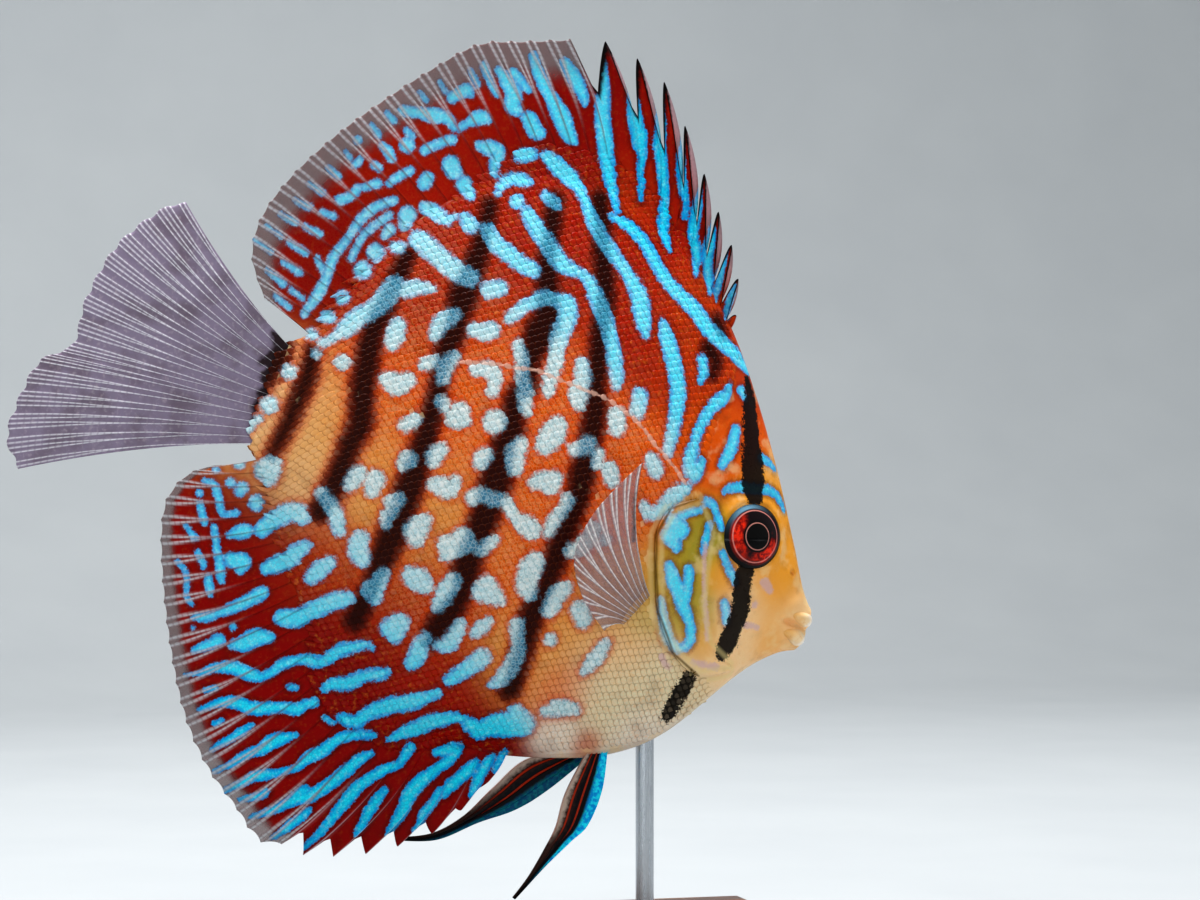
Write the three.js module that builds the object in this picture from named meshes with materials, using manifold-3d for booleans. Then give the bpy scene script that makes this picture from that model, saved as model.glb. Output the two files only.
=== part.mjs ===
// A turquoise discus fish, life size, held nose down on a small display stand.
// Millimetres, +Z up. The fish's own frame has its snout at the origin, x forward, y to its left
// and z up. In that frame a place is often given as [s, z]: s back from the snout, z above it.

import * as THREE from 'three';
import { mergeVertices } from 'three/addons/utils/BufferGeometryUtils.js';
import Module from 'manifold-3d';

const wasm = await Module();
wasm.setup();

// Pose and stand
const PITCH = 21;                 // degrees that the nose is down
const SNOUT_X = 88.75;
const SNOUT_Z = 77.9;
const BASE_SIZE = [118, 80, 10];
const BASE_X = 26;                // under the middle of the body
const BASE_BEVEL = 2;
const ROD_X = 50;
const ROD_RADIUS = 2;

// Gaps between pieces that touch
const GAP = 0.3;

// Outline of the body as [s, z]
const BODY_START = 1.2;
const BODY_END = 131;
const BACK = [[0, -0.6], [4.4, 4.2], [9.7, 12.3], [22.1, 30.2], [36.4, 47.6], [46, 56.6], [58, 64.6],
  [76, 69.6], [92.5, 66.7], [104, 59.8], [114, 48.2], [121, 33.8], [126, 19], [131, 11.9]];
const BELLY = [[0, -8.6], [5, -11.2], [11.2, -17.8], [22.9, -35.5], [32.1, -43.4], [43.4, -48.9],
  [56, -53.2], [72, -55], [86, -53.4], [98, -48], [109, -37.8], [119, -25.6], [126, -15.8], [131, -10]];

// Half thickness along the body, the flat of its edges, and how sharp the edges run out
const HALF_WIDTH = [[0, 3], [5, 4.8], [10, 6.9], [20, 9.5], [30, 11], [43, 11.9], [56, 11.8], [70, 11],
  [86, 9.3], [102, 7], [116, 4.6], [125, 3], [131, 2.1]];
const BACK_EDGE = [[0, 0.6], [40, 1.1], [131, 0.9]];
const BELLY_EDGE = [[0, 0.6], [12, 1.6], [26, 3], [38, 3], [54, 1.2], [131, 0.9]];
const KEEL = [[0, 0.5], [20, 0.56], [45, 0.72], [80, 0.8], [131, 0.62]];

// Head
const EYE_AT = [21.8, 10];
const EYE_RADIUS = 7.6;
const EYE_DEPTH = 3.9;
const EYE_SINK = 1.9;             // its centre below the skin
const NOSTRIL_AT = [9.2, 6];
const NOSTRIL_RADIUS = 0.7;
const MOUTH_Z = -4.3;
const MOUTH_CORNER = 6.2;         // s of the corners
const MOUTH_HALF_WIDTH = 4.6;
const MOUTH_GAP = 0.8;
const UPPER_LIP_RADIUS = 2;
const LOWER_LIP_RADIUS = 2.3;

// Gill cover: its front edge, along the preopercle, and its free rear edge, both from the top down
const COVER_FRONT = [[36, 12.6], [31.2, 8], [29.2, -1], [27, -9], [22.5, -15], [15.6, -17.4]];
const COVER_REAR = [[37.4, 13], [42.4, 8.8], [43.4, 2.5], [40.6, -5], [36.8, -13], [30, -20.2],
  [22.4, -22.8], [15.6, -19.4]];
const COVER_THICKNESS = 0.9;
const COVER_RISE = 0.6;           // how far the free edge stands off the cheek
const COVER_MARGIN = 0.8;         // from that edge back to the trunk

// Where the trunk ends and the tail begins
const TAIL_AT = 121;

// Fins
const MEMBRANE = 0.27;            // half thicknesses
const SPINE = 0.7;
const SOFT_RAY = 0.52;
const RAY_TIP = 0.27;
const FIN_ROOT = 0.85;
const FIN_ROWS = 7;
const SWAY = 1.2;                 // how far the margins of the upright fins wave to the side
const SWAY_LENGTH = 47;

const DORSAL_BASE = [40.2, 76, 127.4];        // first spine, first soft ray, last soft ray
const DORSAL_SPINES = [[40.4, 54.8], [42.8, 62.8], [46.8, 69.3], [52.2, 75], [58.2, 81.6], [66.1, 89.8],
  [74, 97], [81.7, 99.3], [89.8, 99.9]];
const DORSAL_MARGIN = [[97.2, 97.6], [107.4, 93], [116, 88.6], [123.5, 79.6], [131.2, 68.7],
  [138.5, 57.1], [144, 45], [146.4, 34.5], [145, 26.6], [139.4, 19.8]];
const DORSAL_NOTCH = [0.04, 0.62, 1.6];       // first, last, and how it rises between
const DORSAL_SOFT_RAYS = 24;
const DORSAL_CROWD = 1.3;          // spines stand closer towards the front
const DORSAL_BOW = [0.2, 0.03];    // forward bend of the spines and of the soft rays

const ANAL_BASE = [54.6, 80, 128.4];
const ANAL_SPINES = [[56.2, -60], [60, -67.7], [64, -74.6], [69.9, -79.8], [76, -83.6], [82.8, -86.4],
  [89.2, -88.2]];
const ANAL_MARGIN = [[94.4, -87.6], [99.5, -88.6], [105.9, -84], [114.9, -78], [123.7, -69],
  [132.5, -55.3], [140.2, -40.1], [143.8, -29], [141.8, -21.6], [136.8, -17.4]];
const ANAL_NOTCH = [0.58, 0.8, 1];
const ANAL_SOFT_RAYS = 23;
const ANAL_CROWD = 1.1;
const ANAL_BOW = [0.14, 0.05];

const TAIL_MARGIN = [[162, 33], [166.4, 29.6], [172.4, 19], [174.4, 6], [173.6, -4], [178.8, -10],
  [180, -20.4], [179.2, -27.6], [174.6, -32.6]];
const TAIL_RAYS = 14;
const TAIL_FORK = 0.45;           // where each ray of the tail fin branches
const TAIL_SWAY = 3;

const PECTORAL_ROOT = [[39.9, -10.4], [43, -18.2]];
const PECTORAL_MARGIN = [[53.8, 15.2], [57, 8.4], [59.4, 2.2], [60.4, -4], [59.4, -10.2], [54, -16.6],
  [47, -21]];
const PECTORAL_RAYS = 11;
const PECTORAL_BEND = [-5.2, 1.5];
const PECTORAL_SPREAD = 0.24;     // side step per millimetre away from the root

const PELVIC_SIDE = 1.95;         // of its root from the middle
const PELVIC_FLARE = 4;
const PELVIC_RAYS = 5;
const PELVIC_ROWS = 12;
const PELVIC_RIGHT = {
  root: [34.4, 38.8],
  front: [[32.2, -53], [32.4, -61.2], [35.2, -66], [39.2, -73], [43.1, -81.7]],
  rear: [[42, -56.5], [41.6, -66], [42, -70], [42.4, -76], [43.7, -81.5]],
};
const PELVIC_LEFT = {
  root: [34.8, 39.2],
  front: [[41.6, -56.4], [47, -63.6], [53.8, -69.2], [61, -75.7], [69.2, -78.8]],
  rear: [[49, -52.6], [53.6, -61], [57.4, -69], [62.6, -74.8], [69.6, -78.2]],
};

const clamp = THREE.MathUtils.clamp;
const lerp = THREE.MathUtils.lerp;

// A smooth curve through points [along, value], read as a function
function through(points) {
  const last = points.length - 1;
  return (at) => {
    const next = points.findIndex((point) => point[0] > at);
    const i = clamp(next < 0 ? last - 1 : next - 1, 0, last - 1);
    const [a, b] = [points[i], points[i + 1]];
    const before = points[Math.max(i - 1, 0)];
    const after = points[Math.min(i + 2, last)];
    const span = b[0] - a[0];
    const t = clamp((at - a[0]) / span, 0, 1);
    const slopeA = span * (b[1] - before[1]) / (b[0] - before[0]);
    const slopeB = span * (after[1] - a[1]) / (after[0] - a[0]);
    const rise = b[1] - a[1];
    const curl = slopeA + slopeB - 2 * rise;
    return a[1] + t * (slopeA + t * (3 * rise - 2 * slopeA - slopeB + t * curl));
  };
}

const back = through(BACK);
const belly = through(BELLY);
const halfWidth = through(HALF_WIDTH);
const backEdge = through(BACK_EDGE);
const bellyEdge = through(BELLY_EDGE);
const keel = through(KEEL);

// Half thickness of the body at a place on its side; t runs from -1 at the belly to 1 at the back
function flankAt(s, t) {
  const edge = t > 0 ? backEdge(s) : bellyEdge(s);
  return edge + (halfWidth(s) - edge) * Math.max(1 - t * t, 0) ** keel(s);
}

function flank(s, z) {
  const [top, low] = [back(s), belly(s)];
  return flankAt(s, clamp((2 * z - top - low) / (top - low), -1, 1));
}

// A place in the fish's frame
function place(s, y, z) {
  return new THREE.Vector3(-s, y, z);
}

// A closed body from its corners and triangles, turned so that its faces point out
function closedBody(corners, triangles) {
  let volume = 0;
  for (const [a, b, c] of triangles) {
    volume += corners[a].dot(corners[b].clone().cross(corners[c]));
  }
  const facing = volume < 0 ? triangles.map(([a, b, c]) => [a, c, b]) : triangles;
  const geometry = new THREE.BufferGeometry();
  geometry.setAttribute('position', new THREE.Float32BufferAttribute(corners.flatMap((p) => p.toArray()), 3));
  geometry.setIndex(facing.flat());
  return geometry;
}

// A skin over rings of equal count, closed by a fan at each end
function loft(rings) {
  const count = rings[0].length;
  const corners = rings.flat();
  const triangles = [];
  for (let ring = 0; ring < rings.length - 1; ring += 1) {
    for (let k = 0; k < count; k += 1) {
      const a = ring * count + k;
      const b = ring * count + (k + 1) % count;
      triangles.push([a, b, a + count], [b, b + count, a + count]);
    }
  }
  for (const [first, turn] of [[0, 1], [corners.length - count, -1]]) {
    const middle = new THREE.Vector3();
    corners.slice(first, first + count).forEach((p) => middle.addScaledVector(p, 1 / count));
    corners.push(middle);
    for (let k = 0; k < count; k += 1) {
      const [a, b] = [first + k, first + (k + 1) % count];
      triangles.push(turn > 0 ? [b, a, corners.length - 1] : [a, b, corners.length - 1]);
    }
  }
  return closedBody(corners, triangles);
}

function toSolid(geometry) {
  const bare = geometry.clone();
  bare.deleteAttribute('normal');
  bare.deleteAttribute('uv');
  const merged = mergeVertices(bare, 1e-4);
  return new wasm.Manifold(new wasm.Mesh({
    numProp: 3,
    vertProperties: new Float32Array(merged.attributes.position.array),
    triVerts: new Uint32Array(merged.index.array),
  }));
}

// The largest closed body of a solid, as a geometry
function toGeometry(solid) {
  const bodies = solid.decompose().sort((a, b) => b.volume() - a.volume());
  const mesh = bodies[0].getMesh();
  const geometry = new THREE.BufferGeometry();
  geometry.setAttribute('position', new THREE.Float32BufferAttribute(mesh.vertProperties, 3));
  geometry.setIndex(Array.from(mesh.triVerts));
  return geometry;
}

// The whole body, from sections across it
const BODY_SECTIONS = 50;
const SIDE_STEPS = 12;
const PACKED = 0.45;              // how much closer the sections stand near both ends

function bodySolid() {
  const rings = [];
  for (let i = 0; i <= BODY_SECTIONS; i += 1) {
    const u = i / BODY_SECTIONS;
    const packed = (1 - Math.cos(Math.PI * u)) / 2;
    const s = lerp(BODY_START, BODY_END, lerp(u, packed, PACKED));
    const [top, low] = [back(s), belly(s)];
    const side = [];
    for (let k = 0; k <= SIDE_STEPS; k += 1) {
      const t = Math.sin(Math.PI * (k / SIDE_STEPS - 0.5));
      side.push([flankAt(s, t), low + (top - low) * (t + 1) / 2]);
    }
    const right = side.map(([y, z]) => place(s, -y, z));
    const left = side.map(([y, z]) => place(s, y, z)).reverse();
    rings.push([...right, ...left]);
  }
  return toSolid(loft(rings));
}

// A line of points moved sideways by a distance, to the left of its direction
function offsetLine(points, distance) {
  return points.map((point, i) => {
    const before = points[Math.max(i - 1, 0)];
    const after = points[Math.min(i + 1, points.length - 1)];
    const along = new THREE.Vector2(after[0] - before[0], after[1] - before[1]).normalize();
    return [point[0] - distance * along.y, point[1] + distance * along.x];
  });
}

// A prism right across the body, from an outline of [s, z]
function prism(outline) {
  const reach = 40;
  const shape = new THREE.Shape(outline.map(([s, z]) => new THREE.Vector2(-s, z)));
  const geometry = new THREE.ExtrudeGeometry(shape, { depth: 2 * reach, bevelEnabled: false });
  geometry.rotateX(Math.PI / 2);
  geometry.translate(0, reach, 0);
  return toSolid(geometry);
}

// The line that parts the head from the trunk: down the nape, round the gill cover, to the throat
const PART_TOP = [[33.6, 60], [37.6, 34]];
const PART_THROAT = [9, -25];
const coverEdge = new THREE.SplineCurve(COVER_REAR.map((p) => new THREE.Vector2(...p)));
const coverPoints = coverEdge.getSpacedPoints(18).map((p) => p.toArray());
const partLine = [...PART_TOP, ...offsetLine(coverPoints, COVER_MARGIN), PART_THROAT];

function headSide(line) {
  const ahead = -20;
  return prism([...line, [ahead, line.at(-1)[1]], [ahead, line[0][1]]]);
}

// A direction square to the skin of one side, side being -1 for the right and 1 for the left
function flankNormal(s, z, side) {
  const step = 0.5;
  const slopeS = (flank(s + step, z) - flank(s - step, z)) / (2 * step);
  const slopeZ = (flank(s, z + step) - flank(s, z - step)) / (2 * step);
  return new THREE.Vector3(slopeS, side, -slopeZ).normalize();
}

// An eye as a flattened ball, set square to the skin
function eyeball(side, extra) {
  const [s, z] = EYE_AT;
  const normal = flankNormal(s, z, side);
  const geometry = new THREE.SphereGeometry(1, 20, 10);
  geometry.rotateX(Math.PI / 2);
  geometry.scale(EYE_RADIUS + extra, EYE_RADIUS + extra, EYE_DEPTH + extra);
  const turn = new THREE.Quaternion().setFromUnitVectors(new THREE.Vector3(0, 0, 1), normal);
  geometry.applyQuaternion(turn);
  const centre = place(s, side * flank(s, z), z).addScaledVector(normal, -EYE_SINK);
  return geometry.translate(...centre);
}

// A lip as a bar bent round the front of the mouth, thinner at its corners
function lip(z, radius, reach) {
  const rings = [];
  const [steps, sides] = [10, 8];
  for (let i = 0; i <= steps; i += 1) {
    const angle = Math.PI * (i / steps - 0.5);
    const thick = radius * (0.4 + 0.6 * Math.cos(angle) ** 0.7);
    const s = MOUTH_CORNER - (MOUTH_CORNER - reach - radius) * Math.cos(angle);
    const y = MOUTH_HALF_WIDTH * 0.86 * Math.sin(angle);
    const out = new THREE.Vector2(Math.cos(angle), Math.sin(angle));
    const ring = [];
    for (let k = 0; k < sides; k += 1) {
      const round = 2 * Math.PI * (k + 0.5) / sides;
      const outward = thick * Math.cos(round);
      ring.push(place(s - outward * out.x, y + outward * out.y, z + thick * Math.sin(round)));
    }
    rings.push(ring);
  }
  return toSolid(loft(rings));
}

// A shell between the two edges of the gill cover, from one depth below the skin to one above it
function coverShell(side, grow, innerDrop, outerRise) {
  const front = new THREE.SplineCurve(offsetLine(COVER_FRONT, -grow).map((p) => new THREE.Vector2(...p)));
  const rear = new THREE.SplineCurve(offsetLine(COVER_REAR, grow).map((p) => new THREE.Vector2(...p)));
  const [down, across] = [14, 5];
  const corners = [];
  for (let i = 0; i <= down; i += 1) {
    const a = front.getPointAt(i / down);
    const b = rear.getPointAt(i / down);
    for (let k = 0; k <= across; k += 1) {
      const u = k / across;
      const [s, z] = [lerp(a.x, b.x, u), lerp(a.y, b.y, u)];
      const rise = COVER_RISE * u;
      corners.push(place(s, side * (flank(s, z) + rise + outerRise), z));
      corners.push(place(s, side * (flank(s, z) + rise - COVER_THICKNESS - innerDrop), z));
    }
  }
  return closedBody(corners, sheetTriangles(down, across));
}

// Triangles of a sheet of paired corners, alike on both faces, with its four edges closed
function sheetTriangles(rows, columns) {
  const at = (i, k, face) => 2 * (i * (columns + 1) + k) + face;
  const triangles = [];
  for (let i = 0; i < rows; i += 1) {
    for (let k = 0; k < columns; k += 1) {
      triangles.push([at(i, k, 0), at(i + 1, k, 0), at(i, k + 1, 0)]);
      triangles.push([at(i + 1, k, 0), at(i + 1, k + 1, 0), at(i, k + 1, 0)]);
      triangles.push([at(i, k, 1), at(i, k + 1, 1), at(i + 1, k, 1)]);
      triangles.push([at(i + 1, k, 1), at(i, k + 1, 1), at(i + 1, k + 1, 1)]);
    }
  }
  const rim = [];
  for (let k = 0; k < columns; k += 1) rim.push([0, k]);
  for (let i = 0; i < rows; i += 1) rim.push([i, columns]);
  for (let k = columns; k > 0; k -= 1) rim.push([rows, k]);
  for (let i = rows; i > 0; i -= 1) rim.push([i, 0]);
  rim.forEach(([i, k], n) => {
    const [i2, k2] = rim[(n + 1) % rim.length];
    const [a, b] = [at(i, k, 0), at(i2, k2, 0)];
    triangles.push([a, b, a + 1], [b, b + 1, a + 1]);
  });
  return triangles;
}

// A fin from columns that run out from its root: path(f) is the middle of the sheet and half(f)
// half its thickness, f going from 0 at the root to 1 at the margin
function finSheet(columns, rows) {
  const corners = [];
  columns.forEach(({ path, half }) => {
    for (let row = 0; row <= rows; row += 1) {
      const f = row / rows;
      const middle = path(f);
      const step = new THREE.Vector3(0, half(f), 0);
      corners.push(middle.clone().add(step), middle.clone().sub(step));
    }
  });
  return closedBody(corners, sheetTriangles(columns.length - 1, rows));
}

// Half thickness along a ray or a membrane that swells towards its root
function taper(thick, root = FIN_ROOT) {
  return (f) => lerp(thick, Math.min(thick, RAY_TIP), f) + (root - thick) * Math.max(1 - 4 * f, 0) ** 2;
}

// Places along the back or the belly, as values of s: evenly spaced, or crowded at the start
function spaced(edge, from, to, count, crowd = 1) {
  const fine = 400;
  const lengths = [0];
  for (let i = 1; i <= fine; i += 1) {
    const [a, b] = [lerp(from, to, (i - 1) / fine), lerp(from, to, i / fine)];
    lengths.push(lengths[i - 1] + Math.hypot(b - a, edge(b) - edge(a)));
  }
  return Array.from({ length: count }, (_, n) => {
    const wanted = lengths[fine] * (n / (count - 1)) ** crowd;
    const i = clamp(lengths.findIndex((length) => length >= wanted), 0, fine);
    return lerp(from, to, i / fine);
  });
}

// The place just off the back or belly where a ray begins
function rootOf(edge, s, up) {
  const step = 0.4;
  const slope = (edge(s + step) - edge(s - step)) / (2 * step);
  const out = new THREE.Vector2(-slope, 1).normalize().multiplyScalar(up);
  return new THREE.Vector2(s, edge(s)).addScaledVector(out, GAP);
}

// A ray's path from its root to its tip, bowed towards the front; up is 1 above the body, -1 below
function rayCurve(start, tip, bow, up) {
  const chord = tip.clone().sub(start);
  const forward = new THREE.Vector2(-chord.y, chord.x).multiplyScalar(up);
  const control = start.clone().lerp(tip, 0.5).addScaledVector(forward, bow);
  return new THREE.QuadraticBezierCurve(start, control, tip);
}

function swayed(curve, f) {
  const point = curve.getPoint(f);
  const y = SWAY * f * f * Math.sin(2 * Math.PI * (point.x - point.y) / SWAY_LENGTH);
  return place(point.x, y, point.y);
}

// The dorsal or the anal fin: spines with a lappet behind each, then soft rays
function uprightFin({ edge, up, base, spines, margin, notch, softRays, crowd, bow }) {
  const [firstSpine, firstSoft, lastSoft] = base;
  const [spineBow, softBow] = bow;
  const spineRoots = spaced(edge, firstSpine, firstSoft, spines.length + 1, crowd);
  const softRoots = spaced(edge, firstSoft, lastSoft, softRays);
  const marginCurve = new THREE.SplineCurve(margin.map((p) => new THREE.Vector2(...p)));
  const softTips = softRoots.map((_, n) => marginCurve.getPointAt(n / (softRays - 1)));
  const roots = [...spineRoots.slice(0, -1), ...softRoots];
  const tips = [...spines.map((tip) => new THREE.Vector2(...tip)), ...softTips];
  const bowAt = (n) => (n < spines.length ? spineBow : lerp(softBow, spineBow, 0.5 ** (n - spines.length + 1)));
  const rays = tips.map((tip, n) => rayCurve(rootOf(edge, roots[n], up), tip, bowAt(n), up));
  const columns = [];
  const add = (curve, thick) => columns.push({ path: (f) => swayed(curve, f), half: taper(thick) });
  rays.forEach((ray, n) => {
    const isSpine = n < spines.length;
    add(ray, isSpine ? SPINE : SOFT_RAY);
    const next = rays[n + 1];
    if (!next) return;
    const rootAt = (u) => rootOf(edge, lerp(roots[n], roots[n + 1], u), up);
    if (isSpine) {
      const rise = notch[0] + (notch[1] - notch[0]) * (n / (spines.length - 1)) ** notch[2];
      const dip = next.getPoint(rise).lerp(ray.getPoint(rise), 0.1);
      const lappet = ray.v2.clone().lerp(dip, 0.36).lerp(next.getPoint(0.8), 0.1);
      add(rayCurve(rootAt(0.45), lappet, spineBow, up), MEMBRANE);
      add(rayCurve(rootAt(0.86), dip, spineBow * rise * rise, up), MEMBRANE);
    } else {
      const hollow = ray.v2.clone().lerp(next.v2, 0.5).lerp(ray.v0, 0.012);
      add(rayCurve(rootAt(0.5), hollow, bowAt(n), up), MEMBRANE);
    }
  });
  return finSheet(columns, FIN_ROWS);
}

// The tail fin: a fan of rays that each fork on the way out
function tailFin() {
  const s = BODY_END + GAP;
  const inset = 0.4;
  const [top, low] = [back(BODY_END) - inset, belly(BODY_END) + inset];
  const margin = new THREE.SplineCurve(TAIL_MARGIN.map((p) => new THREE.Vector2(...p)));
  const perRay = 4;
  const count = TAIL_RAYS * perRay - 1;
  const columns = [];
  for (let n = 0; n < count; n += 1) {
    const u = n / (count - 1);
    const tip = margin.getPointAt(u);
    const start = new THREE.Vector2(s, lerp(top, low, u));
    const bend = new THREE.Vector2(lerp(s, tip.x, 0.5), lerp(start.y, tip.y, 0.36));
    const curve = new THREE.QuadraticBezierCurve(start, bend, tip);
    const role = n % perRay;
    const forked = (f) => clamp((f - TAIL_FORK) / 0.3, 0, 1);
    const swell = (f) => {
      if (role === 3) return 0;
      return role === 1 ? 1 - forked(f) : forked(f);
    };
    columns.push({
      path: (f) => {
        const point = curve.getPoint(f);
        return place(point.x, TAIL_SWAY * f * f, point.y);
      },
      half: (f) => MEMBRANE + lerp(0.4, 0.1, f) * swell(f) + Math.max(1 - 3 * f, 0) ** 2,
    });
  }
  return finSheet(columns, FIN_ROWS + 1);
}

// A pectoral fin: a fan off the flank behind the gill cover, standing out as it opens
function pectoralFin(side) {
  const [upper, lower] = PECTORAL_ROOT.map((p) => new THREE.Vector2(...p));
  const margin = new THREE.SplineCurve(PECTORAL_MARGIN.map((p) => new THREE.Vector2(...p)));
  const count = 2 * PECTORAL_RAYS - 1;
  const columns = [];
  for (let n = 0; n < count; n += 1) {
    const u = n / (count - 1);
    const start = upper.clone().lerp(lower, u);
    const tip = margin.getPointAt(u);
    const square = new THREE.Vector2(tip.y - start.y, start.x - tip.x).normalize();
    const bend = lerp(...PECTORAL_BEND, u);
    const control = start.clone().lerp(tip, 0.5).addScaledVector(square, -bend);
    const curve = new THREE.QuadraticBezierCurve(start, control, tip);
    const half = taper(n % 2 ? MEMBRANE : SOFT_RAY * 0.85, 1);
    columns.push({
      path: (f) => {
        const point = curve.getPoint(f);
        const away = point.distanceTo(start);
        const y = flank(point.x, point.y) + GAP + half(0) + PECTORAL_SPREAD * away;
        return place(point.x, side * y, point.y);
      },
      half,
    });
  }
  return finSheet(columns, FIN_ROWS - 1);
}

// A pelvic fin: a narrow blade that runs out into a filament
function pelvicFin(side, { root, front, rear }) {
  const edgeOf = (s, points) => new THREE.SplineCurve([
    new THREE.Vector2(s, belly(s) - GAP),
    ...points.map((p) => new THREE.Vector2(...p)),
  ]);
  const [leading, trailing] = [edgeOf(root[0], front), edgeOf(root[1], rear)];
  const count = 2 * PELVIC_RAYS - 1;
  const columns = [];
  for (let n = 0; n < count; n += 1) {
    const u = n / (count - 1);
    columns.push({
      path: (f) => {
        const point = leading.getPoint(f).lerp(trailing.getPoint(f), u);
        if (f === 0) point.y = belly(point.x) - GAP;
        const y = PELVIC_SIDE + PELVIC_FLARE * Math.sin(0.6 * Math.PI * f);
        return place(point.x, side * y, point.y);
      },
      half: taper(n % 2 ? MEMBRANE : SOFT_RAY, 0.75),
    });
  }
  return finSheet(columns, PELVIC_ROWS);
}

// The head, with lips, the line of the mouth, nostrils, eye sockets and beds for the gill covers
function headSolid(body) {
  let head = body.intersect(headSide(partLine));
  head = head.add(lip(MOUTH_Z + UPPER_LIP_RADIUS + MOUTH_GAP / 2, UPPER_LIP_RADIUS, -0.3));
  head = head.add(lip(MOUTH_Z - LOWER_LIP_RADIUS - MOUTH_GAP / 2, LOWER_LIP_RADIUS, -0.6));
  const slit = new THREE.BoxGeometry(MOUTH_CORNER + 2, 4 * MOUTH_HALF_WIDTH, MOUTH_GAP);
  slit.translate(1 - MOUTH_CORNER / 2, 0, MOUTH_Z);
  head = head.subtract(toSolid(slit));
  for (const side of [-1, 1]) {
    head = head.subtract(toSolid(eyeball(side, GAP)));
    head = head.subtract(toSolid(coverShell(side, GAP, GAP, 4)));
    const nostril = new THREE.SphereGeometry(NOSTRIL_RADIUS, 10, 6);
    nostril.translate(...place(NOSTRIL_AT[0], side * flank(...NOSTRIL_AT), NOSTRIL_AT[1]));
    head = head.subtract(toSolid(nostril));
  }
  return head;
}

function trunkSolid(body) {
  const behind = BODY_END + 20;
  const tailBox = prism([[TAIL_AT, -90], [behind, -90], [behind, 90], [TAIL_AT, 90]]);
  return body.subtract(headSide(offsetLine(partLine, GAP))).subtract(tailBox);
}

function tailSolid(body) {
  const start = TAIL_AT + GAP;
  const behind = BODY_END + 20;
  return body.intersect(prism([[start, -90], [behind, -90], [behind, 90], [start, 90]]));
}

// Fish frame and stand frame
const pitch = THREE.MathUtils.degToRad(PITCH);

// Height of the belly over the stand, at a place along it
function bellyHeight(x) {
  let best = 0;
  let nearest = Infinity;
  for (let s = 10; s < 60; s += 0.05) {
    const worldX = SNOUT_X - s * Math.cos(pitch) + belly(s) * Math.sin(pitch);
    if (Math.abs(worldX - x) < nearest) {
      nearest = Math.abs(worldX - x);
      best = SNOUT_Z + s * Math.sin(pitch) + belly(s) * Math.cos(pitch);
    }
  }
  return best;
}

// The rod, its top cut to the slope of the belly
function standRod() {
  const foot = BASE_SIZE[2] + GAP;
  const geometry = new THREE.CylinderGeometry(ROD_RADIUS, ROD_RADIUS, 1, 24, 1);
  geometry.rotateX(Math.PI / 2);
  const position = geometry.attributes.position;
  for (let i = 0; i < position.count; i += 1) {
    const x = position.getX(i);
    const slope = (bellyHeight(ROD_X + ROD_RADIUS) - bellyHeight(ROD_X - ROD_RADIUS)) / (2 * ROD_RADIUS);
    const top = bellyHeight(ROD_X) + slope * x - 1.5 * GAP;
    position.setZ(i, position.getZ(i) > 0 ? top : foot);
  }
  return geometry;
}

function standBase() {
  const [length, width, height] = BASE_SIZE;
  const inner = new THREE.Shape();
  const [x, y] = [length / 2 - BASE_BEVEL, width / 2 - BASE_BEVEL];
  inner.moveTo(-x, -y).lineTo(x, -y).lineTo(x, y).lineTo(-x, y).closePath();
  const geometry = new THREE.ExtrudeGeometry(inner, {
    depth: height - 2 * BASE_BEVEL,
    bevelThickness: BASE_BEVEL,
    bevelSize: BASE_BEVEL,
    bevelSegments: 2,
  });
  return geometry.translate(0, 0, BASE_BEVEL);
}

function mesh(name, geometry, color, roughness, metalness = 0) {
  const made = new THREE.Mesh(geometry, new THREE.MeshStandardMaterial({ color, roughness, metalness }));
  made.name = name;
  return made;
}

const body = bodySolid();
const fish = new THREE.Group();
fish.rotation.y = pitch;
fish.position.set(SNOUT_X, 0, SNOUT_Z);

fish.add(mesh('head', toGeometry(headSolid(body)), 0xc98a3a, 0.4));
fish.add(mesh('torso', toGeometry(trunkSolid(body)), 0xa83a12, 0.4));
fish.add(mesh('tail_base', toGeometry(tailSolid(body)), 0x5a2418, 0.4));

fish.add(mesh('dorsal_fin', uprightFin({
  edge: back,
  up: 1,
  base: DORSAL_BASE,
  spines: DORSAL_SPINES,
  margin: DORSAL_MARGIN,
  notch: DORSAL_NOTCH,
  softRays: DORSAL_SOFT_RAYS,
  crowd: DORSAL_CROWD,
  bow: DORSAL_BOW,
}), 0x8a1008, 0.45));
fish.add(mesh('anal_fin', uprightFin({
  edge: belly,
  up: -1,
  base: ANAL_BASE,
  spines: ANAL_SPINES,
  margin: ANAL_MARGIN,
  notch: ANAL_NOTCH,
  softRays: ANAL_SOFT_RAYS,
  crowd: ANAL_CROWD,
  bow: ANAL_BOW,
}), 0x7a1810, 0.45));
fish.add(mesh('caudal_fin', tailFin(), 0xa9a2a4, 0.4));

for (const [side, name, pelvic] of [[-1, 'right', PELVIC_RIGHT], [1, 'left', PELVIC_LEFT]]) {
  fish.add(mesh(`eye_${name}`, eyeball(side, 0), 0x9a1a10, 0.1));
  fish.add(mesh(`gill_cover_${name}`, coverShell(side, 0, 0, 0), 0x9a8430, 0.35));
  fish.add(mesh(`pectoral_fin_${name}`, pectoralFin(side), 0xc9a070, 0.4));
  fish.add(mesh(`pelvic_fin_${name}`, pelvicFin(side, pelvic), 0x3a1418, 0.4));
}

const rod = mesh('stand_rod', standRod(), 0xb8bcc0, 0.25, 1);
rod.position.x = ROD_X;
const base = mesh('stand_base', standBase(), 0x3a2418, 0.5);
base.position.x = BASE_X;

const model = new THREE.Group();
model.add(fish, rod, base);

export default model;
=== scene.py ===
# %% [markdown]
# # A life-size turquoise discus on a small stand
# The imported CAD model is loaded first. It fixes where everything goes: this lesson dresses it with
# skin, scales, fins and eyes, and never moves or resizes it. Lengths are worked out in millimetres,
# in the fish's own frame, and turned into metres only when a mesh is made.

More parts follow.
